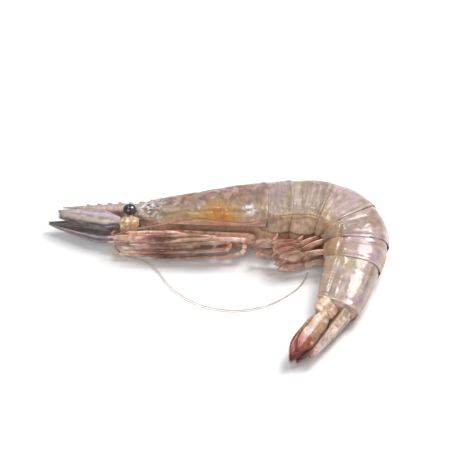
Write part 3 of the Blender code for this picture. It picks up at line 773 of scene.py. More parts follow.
def chest():
    turn = full_turn(56)
    points, tints = [], []
    for u in np.linspace(0, 1, 90):
        s = np.full(56, CHEST_START + CHEST_LENGTH * u)
        top, half = skin(s, LOWER_EDGE, 0.97)
        half = half * 0.64 - 0.4
        low = -through(BELLY, s) * 0.99
        close = min(1.0, math.sqrt(max(1 - (2 * u - 1) ** 10, 0.0)) + 0.05)
        middle, deep = (top + low) / 2, (top - low) / 2
        lumps = sum(bump_at(s, base - 0.4, 1.1) for base in LEG_BASES)
        lumps = lumps * bump_at(np.abs(np.sin(turn)), 0.55, 0.35) * (np.cos(turn) < 0)
        out = half * close * np.sin(turn) * (1 + 0.1 * lumps)
        up = middle + deep * close * np.cos(turn) - 0.25 * lumps
        points.append(body(s, up, out))
        flat = np.stack([s, up, out], -1)
        tint = np.broadcast_to(CHEST_TAN, (56, 3))
        tint = stain(
            tint,
            (CHEST_PINK, 0.6 * ramp(cloud(flat, 2.0, 81), -0.1, 0.6)),
            (BROWN, 0.6 * ramp(cloud(flat, 1.1, 82), 0.15, 0.7)),
        )
        tints.append(tint)
    return grid_part(np.array(points), np.array(tints))


LIMB_FINISH = wet_finish(
    "wet_limb_skin", rough=(0.2, 0.42), flesh=0.3, flesh_reach=0.0008, freckles=0.25,
    freckle_size=0.3, freckle_colour=(0.30, 0.06, 0.04), mottle=0.18, relief=0.00003,
)
dress("chest_skin", [chest()], LIMB_FINISH, "belly", "thorax_underside")


# The walking and feeding legs.
# Ten jointed walking legs, the first three pairs with small pincers, and a pair of feeding legs
# ahead of them, all of thin salmon shell and laid forwards along the belly.

SIDES = (("left", 1), ("right", -1))
LEG_TIPS = (
    (-6.5, -8.4, 3.8), (-8.5, -9.4, 2.0), (-10.0, -10.6, 3.6), (-5.0, -11.6, 1.8), (1.5, -12.8, 3.5),
)
LEG_LANES = ((-9.3, 4.2), (-10.4, 1.8), (-11.0, 4.1), (-12.2, 1.8), (-12.7, 4.0))
LEG_RADII = (0.8, 0.7, 0.6, 0.52, 0.46, 0.38, 0.2)
LEG_JOINTS = (0.06, 0.17, 0.42, 0.66, 0.84)
PINCER_LEGS = 3
PALM_RADII = (0.8, 0.7, 0.6, 0.54, 0.5, 0.46, 0.44)
# How deep each leg lies in the shade of the chest
LEG_DEPTHS = (0.1, 0.75, 0.95, 0.95, 0.85)
MOUTH_LEG_STOPS = (
    (6.0, -7.6, 1.2), (4.0, -8.2, 1.7), (-1.0, -8.0, 1.6), (-6.0, -7.6, 1.2), (-11.5, -7.8, 1.1),
)
MOUTH_LEG_RADII = (0.65, 0.65, 0.55, 0.42, 0.22)
MOUTH_LEG_JOINTS = (0.2, 0.45, 0.7)
SALMON = linear(216, 166, 146)
SALMON_PALE = linear(238, 210, 202)
SALMON_DEEP = linear(182, 106, 84)
PAINTED_SHADE_RED = linear(98, 38, 24)
OLIVE_SHADE_AND_MOTTLE = linear(130, 98, 62)
JOINT_PALE = linear(244, 218, 206)
TIP_CREAM = linear(240, 222, 192)


def smooth_route(points, steps):
    """Points along a smooth curve through the given ones, steps to each stretch between them."""
    padded = np.array([points[0], *points, points[-1]])
    route = []
    for a, b, c, d in zip(padded, padded[1:], padded[2:], padded[3:]):
        for u in np.arange(steps) / steps:
            route.append(0.5 * (2 * b + u * (c - a) + u**2 * (2 * a - 5 * b + 4 * c - d)
                                + u**3 * (3 * b - a - 3 * c + d)))
    return np.array([*route, points[-1]])


def frames_along(route):
    """Unit vectors along a route and across it, carried along without twisting."""
    way = unit(np.gradient(route, axis=0))
    across = np.cross(way[0], (0.0, 0.0, 1.0))
    if np.linalg.norm(across) < 1e-3:
        across = np.array([1.0, 0.0, 0.0])
    kept = []
    for direction in way:
        across = across - direction * (across @ direction)
        across = across / np.linalg.norm(across)
        kept.append(across)
    kept = np.array(kept)
    return way, kept, np.cross(way, kept)


def limb(route, radii, colour, steps, sides=14, joints=()):
    """A closed round limb: its radii in mm are spread over the route, and it swells at its joints."""
    route = smooth_route(route, steps)
    share = np.linspace(0, 1, len(route))
    girth = np.interp(share, np.linspace(0, 1, len(radii)), radii)
    for joint in joints:
        swelling, neck = 0.20 * bump_at(share, joint, 0.012), 0.16 * bump_at(share, joint + 0.022, 0.010)
        girth = girth * (1 + swelling - neck)
    way, across, beside = frames_along(route)
    # A domed cap at each end
    dome = np.array([0.0, 0.35, 0.7])
    start = route[0] - way[0] * girth[0] * MM * 0.5 * (1 - dome)[:, None]
    end = route[-1] + way[-1] * girth[-1] * MM * 0.5 * dome[1:, None] ** 0.5
    spots = np.concatenate([start[:2], route, end])
    girth = np.concatenate([girth[0] * np.array([0.5, 0.85]), girth, girth[-1] * np.array([0.8, 0.45])])
    across = np.concatenate([across[:1].repeat(2, 0), across, across[-1:].repeat(2, 0)])
    beside = np.concatenate([beside[:1].repeat(2, 0), beside, beside[-1:].repeat(2, 0)])
    share = np.concatenate([[0, 0], share, [1, 1]])
    turn = full_turn(sides)
    ring = np.cos(turn)[:, None] * across[:, None] + np.sin(turn)[:, None] * beside[:, None]
    points = above_board(spots[:, None] + ring * girth[:, None, None] * MM)
    tint = colour(np.broadcast_to(share[:, None], points.shape[:2]), points / MM)
    return grid_part(points, tint)


def salmon(joints, seed, shade_depth=0.0):
    """Leg colours; shade_depth is how far the leg lies in the painted dark red and olive shade of the
    hollow under the chest.
    """
    def colour(share, place):
        tint = np.broadcast_to(SALMON, (*share.shape, 3))
        tint = stain(
            tint,
            (SALMON_PALE, 0.8 * ramp(cloud(place, 2.3, seed), -0.15, 0.5)),
            (SALMON_DEEP, 0.4 * ramp(cloud(place, 1.3, seed + 1), 0.1, 0.6)),
        )
        for joint in joints:
            tint = stain(
                tint,
                (SALMON_DEEP, 0.5 * bump_at(share, joint + 0.02, 0.014)),
                (JOINT_PALE, 0.6 * bump_at(share, joint - 0.012, 0.012)),
            )
        tint = stain(tint, (TIP_CREAM, 0.7 * ramp(share, 0.86, 1.0)))
        patch = 0.25 * cloud(place, 2.6, seed + 2)
        # Painted shade: dark red and olive where the leg lies in the hollow under the chest
        return stain(
            tint,
            (PAINTED_SHADE_RED, shade_depth * np.clip(bump_at(place[..., 0], -17.0, 5.5) + patch, 0, 1)),
            (OLIVE_SHADE_AND_MOTTLE, 0.85 * shade_depth * np.clip(bump_at(place[..., 0], -7.0, 6.5) + patch, 0, 1)),
        )

    return colour


def walking_leg(number, sign):
    start, (tip_s, tip_dorsal, tip_left) = LEG_BASES[number - 1], LEG_TIPS[number - 1]
    lane_dorsal, lane_left = LEG_LANES[number - 1]
    belly, run = float(through(BELLY, np.array(start))), start - tip_s
    stops = [
        (start, -belly - 0.8, 1.2),
        (start - 0.9, (lane_dorsal - belly) / 2 - 0.9, 0.5 * lane_left + 0.8),
        (start - 0.22 * run, lane_dorsal - 0.2, lane_left),
        (start - 0.45 * run, lane_dorsal, lane_left),
        (start - 0.65 * run, (lane_dorsal * 2 + tip_dorsal) / 3, lane_left),
        (start - 0.85 * run, (lane_dorsal + 2 * tip_dorsal) / 3, tip_left),
        (tip_s, tip_dorsal, tip_left),
    ]
    route = [body(s, dorsal, sign * left) for s, dorsal, left in stops]
    colour = salmon(LEG_JOINTS, 90 + number * 3 + sign, LEG_DEPTHS[number - 1])
    if number > PINCER_LEGS:
        return [limb(route, LEG_RADII, colour, steps=16, joints=LEG_JOINTS)]
    # The pincer: a swollen palm that splits into two fingers at 0.93 of the last stretch
    fine = smooth_route(route, 16)
    palm_end = len(fine) - 9
    way, across, _ = frames_along(fine)
    palm_joints = [joint / 0.93 for joint in LEG_JOINTS]
    parts = [limb(fine[: palm_end + 1 : 4], PALM_RADII, colour, steps=5, joints=palm_joints)]
    for side in (1, -1):
        foot = fine[palm_end] + across[palm_end] * side * 0.26 * MM - way[palm_end] * 0.4 * MM
        bow = fine[palm_end + 4] + across[palm_end] * side * 0.36 * MM
        end = fine[-1] + across[-1] * side * 0.10 * MM
        parts.append(limb([foot, bow, end], (0.27, 0.24, 0.10), colour, sides=10, steps=8))
    return parts


for side_name, sign in SIDES:
    for number in range(1, 6):
        dress(f"leg_{number}_{side_name}", walking_leg(number, sign), LIMB_FINISH, "limb",
              f"walking_leg_{number}_{side_name}")
    feeding = limb(
        [body(s, dorsal, sign * left) for s, dorsal, left in MOUTH_LEG_STOPS], MOUTH_LEG_RADII,
        salmon(MOUTH_LEG_JOINTS, 130 + sign, 0.5), steps=16, joints=MOUTH_LEG_JOINTS,
    )
    dress(f"mouth_leg_{side_name}", [feeding], LIMB_FINISH, "limb", f"feeding_leg_{side_name}")


# The tail fan.
# A pointed middle blade with a groove down it, and on each side a stout root carrying two paddles of
# thin shell with a raised midrib. Beige at the root, then orange, olive and mauve, and maroon tips.

TAIL_START = 93.4
FAN_START = TAIL_START + 0.75
ROOT_LENGTH = 4.6
MIDDLE_BLADE_LENGTH = 19.0
MAROON = linear(138, 58, 48)
MAGENTA = linear(164, 46, 88)
RUST = linear(170, 112, 70)
TAIL_BEIGE = linear(214, 184, 160)
BLADE_BEIGE = linear(190, 158, 130)
TAIL_MAUVE = linear(158, 134, 128)
TAIL_PALE = linear(232, 216, 208)
WORN_ORANGE = linear(150, 92, 54)
WORN_OLIVE = linear(138, 126, 96)
STREAK_PINK = linear(222, 196, 186)
ROOT_PINK = linear(204, 146, 126)


def blade(spine, halves, deep, lean, cupping, thinning, relief, colour, cols=52):
    """A leaf of shell on a spine of (s, dorsal, left); its width leans from the left to the back."""
    along = (math.sin(math.radians(lean)), math.cos(math.radians(lean)))
    wide, thick = np.cos(full_turn(cols)), np.sin(full_turn(cols))
    points, tints = [], []
    for row, ((s, dorsal, left), half) in enumerate(zip(spine, halves)):
        u = row / (len(spine) - 1)
        body_thick = min(deep * (1 - thinning * u), half) * np.sign(thick) * np.abs(thick) ** 0.8
        body_thick = body_thick + relief(u, wide) * np.sign(thick) * np.minimum(np.abs(thick) * 3, 1)
        lift = body_thick - cupping * wide**2
        spot = body(s, dorsal + half * wide * along[0] + lift * along[1],
                    left + half * wide * along[1] - lift * along[0])
        points.append(spot)
        tints.append(colour(np.full(cols, u), wide, spot / MM))
    return grid_part(np.array(points), np.array(tints))


def paddle_relief(u, wide):
    rays = 0.025 * np.cos(np.arcsin(np.clip(wide, -1, 1)) * 26) * (1 - np.abs(wide)) ** 0.3
    return 0.2 * bump_at(wide, 0.05, 0.09) * (1 - 0.7 * u) + 0.16 * bump_at(wide, 0.86, 0.08) + rays * u


def telson_relief(u, wide):
    groove = -0.5 * bump_at(wide, 0, 0.22) * (1 - u)
    return groove + 0.25 * bump_at(np.abs(wide), 0.45, 0.16) * (1 - 0.5 * u)


def fan_colour(seed, dark_from, mid, streak):
    """Tail blade colours: beige root, mid colour, maroon past dark_from, and a pale streak across."""
    def colour(u, wide, place):
        tint = np.broadcast_to(BLADE_BEIGE, (*u.shape, 3))
        mauve = cloud(place, 2.0, seed + 1) + 0.6 * bump_at(u, 0.45, 0.2)
        tint = stain(
            tint,
            (mid, 0.75 * ramp(u + 0.25 * cloud(place, 2.5, seed), 0.05, 0.5)),
            (TAIL_MAUVE, 0.6 * ramp(mauve, 0.0, 0.9)),
            (OLIVE, 0.65 * ramp(cloud(place, 2.4, seed + 2), 0.1, 0.55) * (1 - ramp(u, 0.45, 0.75))),
        )
        worn = 1 - ramp(u, 0.6, 0.85)
        tint = stain(
            tint,
            (WORN_ORANGE, 0.55 * worn * ramp(cloud(place, 1.2, seed + 5), 0.0, 0.5)),
            (WORN_OLIVE, 0.55 * worn * ramp(cloud(place, 1.4, seed + 6), 0.05, 0.5)),
            (TAIL_PALE, 0.5 * worn * ramp(cloud(place, 1.0, seed + 7), 0.2, 0.6)),
        )
        edge = u + 0.22 * cloud(place, 2.2, seed + 3) + 0.16 * wide**2
        return stain(
            tint,
            (MAROON, 0.92 * ramp(edge, dark_from - 0.1, dark_from + 0.18)),
            (MAGENTA, 0.75 * ramp(cloud(place, 1.7, seed + 4), 0.1, 0.5) * bump_at(u, 0.82, 0.1)),
            (STREAK_PINK, streak * bump_at(wide, 0.25, 0.3) * (1 - ramp(u, 0.5, 0.95))),
            (BROWN, 0.5 * bump_at(np.abs(wide), 1.0, 0.1)),
            (MAROON, 0.35 * bump_at(wide, 0.05, 0.05)),
        )

    return colour


TAIL_FINISH = wet_finish(
    "tail_blade_skin", rough=(0.32, 0.5), gloss=0.4, flesh=0.2, flesh_reach=0.0006, freckles=0.5,
    freckle_size=0.4, freckle_colour=(0.12, 0.025, 0.02), mottle=0.25, relief=0.00004,
)
share = np.linspace(0, 1, 64)
middle_blade = blade(
    [(FAN_START + MIDDLE_BLADE_LENGTH * u, 3.3 - 0.9 * u, 0.0) for u in share],
    2.8 * (1 - share) ** 0.7 + 0.30,
    1.4, 0, 0.9, 0.6, telson_relief, fan_colour(200, 0.92, TAIL_PALE, 0.8),
)
dress("tail_middle_blade", [middle_blade], TAIL_FINISH, "tail_blade", "telson")


def plain_relief(u, wide):
    ribs = 0.18 * bump_at(wide, 0.35, 0.2) - 0.14 * bump_at(wide, -0.2, 0.16)
    return ribs - 0.10 * bump_at(u, 0.66, 0.05)


def fan_root_colour(u, wide, place):
    tint = np.broadcast_to(TAIL_BEIGE, (*u.shape, 3))
    return stain(
        tint,
        (ROOT_PINK, 0.5 * ramp(cloud(place, 1.5, 230), 0.0, 0.5)),
        (OLIVE, 0.3 * ramp(cloud(place, 1.1, 231), 0.1, 0.5)),
        (BROWN, 0.4 * ramp(cloud(place, 0.8, 232), 0.25, 0.6)),
        (BROWN, 0.4 * bump_at(u, 0.66, 0.05)),
        (BROWN, 0.6 * ramp(u, 0.86, 1.0)),
    )


# Each paddle: its length, its offsets to the back and the side, its half width, its lean in degrees
# and its colours
PADDLE_SHAPES = (
    ("outer", 22.4, -2.5, 2.2, 2.6, -68, fan_colour(210, 0.66, RUST, 0.0)),
    ("inner", 20.6, -1.2, 3.3, 2.7, -62, fan_colour(220, 0.74, RUST, 0.25)),
)
# The root starts inside the last ring and reaches in between the paddles
ROOT_START, ROOT_RUN = FAN_START - 1.4, ROOT_LENGTH + 2.6
PADDLES = []
for side_name, sign in SIDES:
    share = np.linspace(0, 1, 44)
    root = blade(
        [(ROOT_START + ROOT_RUN * u, -2.2 - 0.3 * u, sign * (2.2 + 0.6 * u)) for u in share],
        3.4 * (1.04 - np.abs(2 * share - 1) ** 3.4) ** 0.4,
        1.6, -62 * sign, 0.0, 0.35, plain_relief, fan_root_colour,
    )
    dress(f"tail_paddle_root_{side_name}", [root], TAIL_FINISH, "shell", f"uropod_base_{side_name}")
    for name, length, dorsal, reach, half, lean, colour in PADDLE_SHAPES:
        share = np.linspace(0, 1, 70)
        start = FAN_START + ROOT_LENGTH - 0.4
        run = FAN_START + length - start
        tip = np.maximum(share - 0.65, 0)
        paddle = blade(
            [(start + run * u, dorsal + 0.2 * u, sign * (reach - 0.4 * u)) for u in share],
            half * np.minimum(1, 0.6 + 1.6 * share) * (1 - tip**2 * 5.2) * np.sqrt(1.03 - share**14),
            0.45, lean * sign, 0.55, 0.3, paddle_relief, colour,
        )
        dress(f"tail_paddle_{name}_{side_name}", [paddle], TAIL_FINISH, "tail_blade",
              f"uropod_{name}_{side_name}")
        PADDLES.append(paddle)


# The bristle fringes of the tail fan.
# Short hairs of the shell's own stuff stand in a row along the edge of every paddle and point
# backwards. One hair is placed, leant and sized again and again along the edge.

HAIR_FINISH = wet_finish(
    "fringe_hair", rough=(0.3, 0.5), gloss=0.3, flesh=0.0, mottle=0.2, relief=0.00001
)
HAIR_SIDES, HAIR_TIP_RADIUS, HAIR_UNEVENNESS = 4, 0.00001, 0.3
TAIL_HAIR = linear(150, 84, 62)


def growing_tree(name, **inputs):
    """An empty tree that takes and gives geometry, its other inputs' identifiers and its two ends."""
    tree = bpy.data.node_groups.new(name, "GeometryNodeTree")
    for end in ("OUTPUT", "INPUT"):
        tree.interface.new_socket(name="Geometry", in_out=end, socket_type="NodeSocketGeometry")
    identifiers = {
        key: tree.interface.new_socket(name=key, in_out="INPUT", socket_type=kind).identifier
        for key, kind in inputs.items()
    }
    return tree, identifiers, add_node(tree, "NodeGroupInput"), add_node(tree, "NodeGroupOutput")


def grown_out(tree, placed, given, result):
    """Ends a tree: what it has placed is made real and takes the finish."""
    real = add_node(tree, "GeometryNodeRealizeInstances")
    painted = add_node(tree, "GeometryNodeSetMaterial")
    tree.links.new(placed.outputs["Instances"], real.inputs["Geometry"])
    tree.links.new(real.outputs["Geometry"], painted.inputs["Geometry"])
    tree.links.new(given.outputs["Finish"], painted.inputs["Material"])
    tree.links.new(painted.outputs["Geometry"], result.inputs["Geometry"])


def hair_tree():
    """Sets one tapered hair on every vertex, turned along its "way" and as long as its "reach"."""
    tree, identifiers, given, result = growing_tree(
        "hair_row", Radius="NodeSocketFloat", Uneven="NodeSocketFloat", Finish="NodeSocketMaterial"
    )
    link = tree.links.new
    hair = add_node(tree, "GeometryNodeMeshCone", Vertices=HAIR_SIDES, Depth=MM)
    hair.inputs["Radius Top"].default_value = HAIR_TIP_RADIUS
    link(given.outputs["Radius"], hair.inputs["Radius Bottom"])
    way = add_node(tree, "GeometryNodeInputNamedAttribute", data_type="FLOAT_VECTOR", Name="way")
    reach = add_node(tree, "GeometryNodeInputNamedAttribute", data_type="FLOAT", Name="reach")
    turned = add_node(tree, "FunctionNodeAlignRotationToVector", axis="Z")
    link(way.outputs["Attribute"], turned.inputs["Vector"])
    # Each hair is longer or shorter by chance, by up to the share in Uneven
    chance = add_node(tree, "FunctionNodeRandomValue", data_type="FLOAT", Seed=5)
    ends = [socket for socket in chance.inputs if socket.type == "VALUE"]
    for change, end in zip(("SUBTRACT", "ADD"), ends):
        bound = add_node(tree, "ShaderNodeMath", operation=change)
        bound.inputs[0].default_value = 1.0
        link(given.outputs["Uneven"], bound.inputs[1])
        link(bound.outputs["Value"], end)
    length = add_node(tree, "ShaderNodeMath", operation="MULTIPLY")
    link(reach.outputs["Attribute"], length.inputs[0])
    link(next(socket for socket in chance.outputs if socket.type == "VALUE"), length.inputs[1])
    size = add_node(tree, "ShaderNodeCombineXYZ", X=1.0, Y=1.0)
    link(length.outputs["Value"], size.inputs["Z"])
    hairs = add_node(tree, "GeometryNodeInstanceOnPoints")
    link(given.outputs["Geometry"], hairs.inputs["Points"])
    link(hair.outputs["Mesh"], hairs.inputs["Instance"])
    link(turned.outputs["Rotation"], hairs.inputs["Rotation"])
    link(size.outputs["Vector"], hairs.inputs["Scale"])
    grown_out(tree, hairs, given, result)
    return tree, identifiers


HAIR_TREE, HAIR_INPUTS = hair_tree()


def grown(name, mesh, tree, settings):
    """Runs a node tree on a mesh and keeps what it makes as a plain piece."""
    seedbed = bpy.data.objects.new(name, mesh)
    bpy.context.scene.collection.objects.link(seedbed)
    grower = seedbed.modifiers.new("grow", "NODES")
    grower.node_group = tree
    for identifier, value in settings.items():
        grower[identifier] = value
    graph = bpy.context.evaluated_depsgraph_get()
    made = bpy.data.meshes.new_from_object(seedbed.evaluated_get(graph))
    seedbed.modifiers.clear()
    seedbed.data = made
    made.shade_smooth()
    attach(seedbed, "root")
    return seedbed


def hair_row(name, rows, radius, tint):
    """rows: (feet, ways, reaches) along each edge; every hair gets the one colour at its foot."""
    feet, ways, reaches = (np.concatenate(column) for column in zip(*rows))
    # A hair that would go into the board lies along it instead
    ways[:, 2] = np.maximum(ways[:, 2], -0.6 * feet[:, 2] / (reaches * MM))
    mesh = bpy.data.meshes.new(name)
    mesh.from_pydata(feet.tolist(), [], [])
    mesh.attributes.new("way", "FLOAT_VECTOR", "POINT").data.foreach_set("vector", ways.ravel())
    mesh.attributes.new("reach", "FLOAT", "POINT").data.foreach_set("value", reaches.astype(float))
    tint_mesh(mesh, np.broadcast_to(tint, (len(feet), 3)))
    grown(name, mesh, HAIR_TREE, {
        HAIR_INPUTS["Radius"]: radius, HAIR_INPUTS["Uneven"]: HAIR_UNEVENNESS,
        HAIR_INPUTS["Finish"]: HAIR_FINISH,
    })


def lengths_along(line):
    return np.concatenate([[0], np.cumsum(np.linalg.norm(np.diff(line, axis=0), axis=1))])


def spots_along(line, length, at):
    return np.stack([np.interp(at, length, line[:, k]) for k in range(3)], -1)


def edge_hairs(blade_part, columns, from_share, to_share, spacing, lean, reach):
    """A row of hairs along chosen columns of a blade, leaning from outward (0) to along it (1)."""
    points = blade_part["points"]
    kept = slice(int(len(points) * from_share), int(len(points) * to_share))
    centre = points.mean(1)[kept]
    found = []
    for column in columns:
        edge = points[kept, column]
        length = lengths_along(edge)
        at = np.arange(0, length[-1], spacing)
        feet = spots_along(edge, length, at)
        out = unit(feet - spots_along(centre, length, at))
        way = unit(out * (1 - lean) + unit(np.gradient(feet, axis=0)) * lean)
        found.append((feet, way, reach * np.minimum(1, 0.35 + 2 * at / max(length[-1], 1e-9))))
    return found


def end_hairs(blade_part, spacing, reach):
    """Hairs round the blunt end of a blade, pointing straight on."""
    points = blade_part["points"]
    ring = np.concatenate([points[-1], points[-1][:1]])
    length = lengths_along(ring)
    feet = spots_along(ring, length, np.arange(0, length[-1], spacing))
    on = points[-1].mean(0) - points[-6].mean(0)
    on /= np.linalg.norm(on)
    way = unit(on + 0.35 * unit(feet - points[-1].mean(0)))
    return [(feet, way, np.full(len(feet), reach))]


fringe = []
for paddle in PADDLES:
    fringe += edge_hairs(paddle, (0, 26), 0.35, 1.0, 0.00022, 0.75, 0.75)
    fringe += end_hairs(paddle, 0.00020, 0.8)
hair_row("tail_fan_fringe", fringe, 0.00006, TAIL_HAIR)


# The swimming legs.
# Under each of the first five rings hangs a pair of them: a flat stalk with two leaves laid forwards,
# pale pink with redder edges, each leaf fringed with hairs.

LEAF_KNEES = ((14.2, -11.9), (21.6, -12.0), (22.4, -13.0), (23.0, -14.5), (23.8, -16.0))
LEAF_ENDS = ((8.8, -12.4), (13.6, -13.1), (13.8, -14.5), (14.6, -15.9), (15.8, -17.4))
LEAF_PINK = linear(206, 164, 144)
LEAF_RED = linear(176, 104, 86)
LEAF_CREAM = linear(222, 200, 178)
LEAF_HAIR = linear(196, 132, 112)
# Half widths evenly spaced along the stalk and the leaf, and the row where the one ends
LEAF_HALVES = (1.0, 1.2, 1.4, 1.9, 2.1, 1.8, 0.7)
LEAF_ROWS, KNEE_ROW = 49, 17


def leaf(route, halves, deep, seed, lift=0.0):
    """A thin leaf along a route of points in metres, its width upright."""
    way, _, _ = frames_along(route)
    across = unit(np.cross(way, (0.0, 0.0, 1.0)))
    wide, thick = np.cos(full_turn(28)), np.sin(full_turn(28))
    u = np.linspace(0, 1, len(route))
    body_thick = np.minimum(deep, halves)[:, None] * np.sign(thick) * np.abs(thick) ** 0.8
    body_thick = body_thick + 0.10 * bump_at(wide, 0, 0.12)[None] * np.sign(thick)
    # The leaf's edges ripple and curl a little
    body_thick = body_thick + 0.22 * wide[None] ** 2 * np.sin(u * 7 + seed)[:, None]
    up = halves[:, None] * wide[None] + lift * u[:, None]
    points = route[:, None] + (body_thick[..., None] * across[:, None] + up[..., None] * (0, 0, 1)) * MM
    points = above_board(points)
    place = points / MM
    tint = np.broadcast_to(LEAF_PINK, points.shape)
    tint = stain(tint, (LEAF_CREAM, 0.7 * ramp(cloud(place, 1.8, seed + 300), -0.2, 0.5)))
    edge = np.broadcast_to(np.abs(wide), points.shape[:2])
    tint = stain(
        tint,
        (LEAF_RED, 0.45 * ramp(edge, 0.72, 1.0)),
        (LEAF_RED, 0.5 * ramp(cloud(place * (0.3, 1, 1), 0.9, seed + 301), 0.0, 0.6)),
        (OLIVE_SHADE_AND_MOTTLE, 0.5 * ramp(cloud(place * (0.4, 1, 1), 1.5, seed + 302), 0.0, 0.6)),
        (LEAF_RED, np.broadcast_to(0.5 * bump_at(u, 0.0, 0.06)[:, None], points.shape[:2])),
    )
    return grid_part(points, tint)


def swimming_leg(number, sign):
    middle = CARAPACE_LENGTH + sum(SEGMENT_LENGTHS[: number - 1]) + SEGMENT_LENGTHS[number - 1] * 0.5
    foot = body(middle, skin(middle, LOWER_EDGE)[0] + 0.45, sign * 2.1)
    level = foot[2] + sign * 0.3 * MM
    knee, end = (on_plan(*spot, level) for spot in (LEAF_KNEES[number - 1], LEAF_ENDS[number - 1]))
    sag = np.array([0.0, -0.4 * MM, 0.0])
    fine = smooth_route([foot, knee, (knee + end) / 2 + sag, end], 16)
    halves = np.interp(np.linspace(0, 6, LEAF_ROWS), range(7), LEAF_HALVES)
    at_knee = np.interp(np.arange(KNEE_ROW + 1), (0, KNEE_ROW - 3, KNEE_ROW), (1, 1, 0.8))
    stalk = leaf(fine[: KNEE_ROW + 1], halves[: KNEE_ROW + 1] * at_knee, 0.45, number)
    share = np.linspace(0, 1, LEAF_ROWS - KNEE_ROW)
    side = np.cross(end - knee, (0.0, 0.0, 1.0))
    side /= np.linalg.norm(side)
    round_tip = np.sqrt(np.maximum(1 - share**5, 0.02))
    parts = [stalk]
    for step, size, lift in ((0.22, 1.0, 0.35), (-0.22, 0.82, -0.5)):
        run = fine[KNEE_ROW:] + side * step * MM * (0.4 + share[:, None])
        if size < 1:
            run = smooth_route(list(run[: int(len(run) * 0.86) : 3]), 3)
        count = len(run)
        width = np.interp(np.linspace(0, 1, count), share, halves[KNEE_ROW:] * round_tip) * size
        width = width * np.interp(np.linspace(0, 1, count), (0, 0.25), (0.45, 1))
        parts.append(leaf(run, width, 0.24, number + (3 if size < 1 else 0), lift * sign))
    return parts


leaf_fringe = []
for side_name, sign in SIDES:
    for number in range(1, 6):
        parts = swimming_leg(number, sign)
        dress(f"swimmer_{number}_{side_name}", parts, LIMB_FINISH, "limb",
              f"swimming_leg_{number}_{side_name}")
        for part in parts[1:]:
            leaf_fringe += edge_hairs(part, (0, 14), 0.3, 1.0, 0.00028, 0.8, 0.8)
# Hairs within 0.8 mm of the board are drawn in
leaf_fringe = [(feet, way, reach * (feet[:, 2] > 0.0008)) for feet, way, reach in leaf_fringe]
hair_row("swimmer_fringe", leaf_fringe, 0.00005, LEAF_HAIR)


# The eyes.
# Glossy black beads of tiny facets, each in a soft cup on a short stalk.

EYE_RADIUS = 1.9
EYE_STRETCH = np.array([1.1, 1.0, 0.85])
EYE_REACH = 2.05 + 1.9 * 0.85
EYE_ROWS, EYE_COLUMNS = 48, 64
EYE_BLACKS = ((0.4, (0.006, 0.006, 0.008, 1)), (0.75, (0.045, 0.035, 0.04, 1)))
EYE_GLINT = (0.62, 0.60, 0.56)
FACET_SCALE, GLINT_SCALE = 7000.0, 2600.0
COLLAR_TAN = linear(150, 124, 104)


def eye_finish():
    made = bpy.data.materials.new("facetted_eye")
    made.use_nodes = True
    tree = made.node_tree
    shader, link = tree.nodes["Principled BSDF"], tree.links.new
    where = add_node(tree, "ShaderNodeTexCoord").outputs["Object"]
    facets = add_node(tree, "ShaderNodeTexVoronoi", Scale=FACET_SCALE)
    cloudy = add_node(tree, "ShaderNodeTexNoise", Scale=700.0)
    glints = add_node(tree, "ShaderNodeTexVoronoi", Scale=GLINT_SCALE)
    for texture in (facets, cloudy, glints):
        link(where, texture.inputs["Vector"])
    raised = add_node(tree, "ShaderNodeBump", Strength=0.35, Distance=0.00002, invert=True)
    link(facets.outputs["Distance"], raised.inputs["Height"])
    link(raised.outputs["Normal"], shader.inputs["Normal"])
    shades = add_node(tree, "ShaderNodeValToRGB")
    for stop, (position, black) in zip(shades.color_ramp.elements, EYE_BLACKS):
        stop.position, stop.color = position, black
    link(cloudy.outputs["Fac"], shades.inputs["Fac"])
    tint = add_node(tree, "ShaderNodeAttribute", attribute_name="tint").outputs["Color"]
    colour = blended(tree, "ADD", shades.outputs["Color"], tint)
    # Painted glints: pale specks mixed into the eye's black colour
    painted_glint_share = spread(tree, glints.outputs["Distance"], (0.10, 0.34), (0.8, 0.0))
    colour = covered(tree, colour, EYE_GLINT, painted_glint_share, cloudy.outputs["Fac"])
    link(colour, shader.inputs["Base Color"])
    shader.inputs["Roughness"].default_value = 0.16
    shader.inputs["Coat Weight"].default_value = 1.0
    shader.inputs["Coat Roughness"].default_value = 0.03
    return made


EYE_FINISH = eye_finish()
for side_name, sign in SIDES:
    centre = body(-4.9, 0.9, sign * EYE_REACH)
    polar = np.linspace(0.02, np.pi - 0.02, EYE_ROWS)
    turn = full_turn(EYE_COLUMNS)
    out = np.stack([
        np.sin(polar)[:, None] * np.cos(turn),
        np.sin(polar)[:, None] * np.sin(turn),
        np.broadcast_to(sign * np.cos(polar)[:, None], (EYE_ROWS, EYE_COLUMNS)),
    ], -1)
    globe = centre + out * EYE_STRETCH * EYE_RADIUS * MM
    # The facets end in a paler collar where the bead meets its stalk
    collar = np.broadcast_to(ramp(-np.cos(polar), 0.55, 0.75)[:, None], (EYE_ROWS, EYE_COLUMNS))
    tint = stain(np.zeros((EYE_ROWS, EYE_COLUMNS, 3)), (COLLAR_TAN, collar))
    dress(f"eye_bead_{side_name}", [grid_part(globe, tint)], EYE_FINISH, "eye", f"eye_{side_name}")
    stalk = limb(
        [body(s, 1.0, sign * left) for s, left in ((-5.5, 0.7), (-5.4, 1.3), (-5.2, 1.9))],
        (0.7, 0.85, 1.05), salmon((0.5,), 150 + sign), sides=24, steps=12, joints=(0.5,),
    )
    dress(f"eye_stalk_{side_name}", [stalk], LIMB_FINISH, "limb", f"eyestalk_{side_name}")


# The small feelers, between the eyes.
# A stout three-jointed stalk each side, laid along the spike, that ends in two short whips.

FEELER_TAN = linear(196, 168, 152)
FEELER_JOINTS = (0.28, 0.62, 0.96)
FEELER_RADII = (0.9, 0.95, 0.85, 0.72)
FEELER_WHIP_RADII = (0.42, 0.36, 0.28, 0.12)


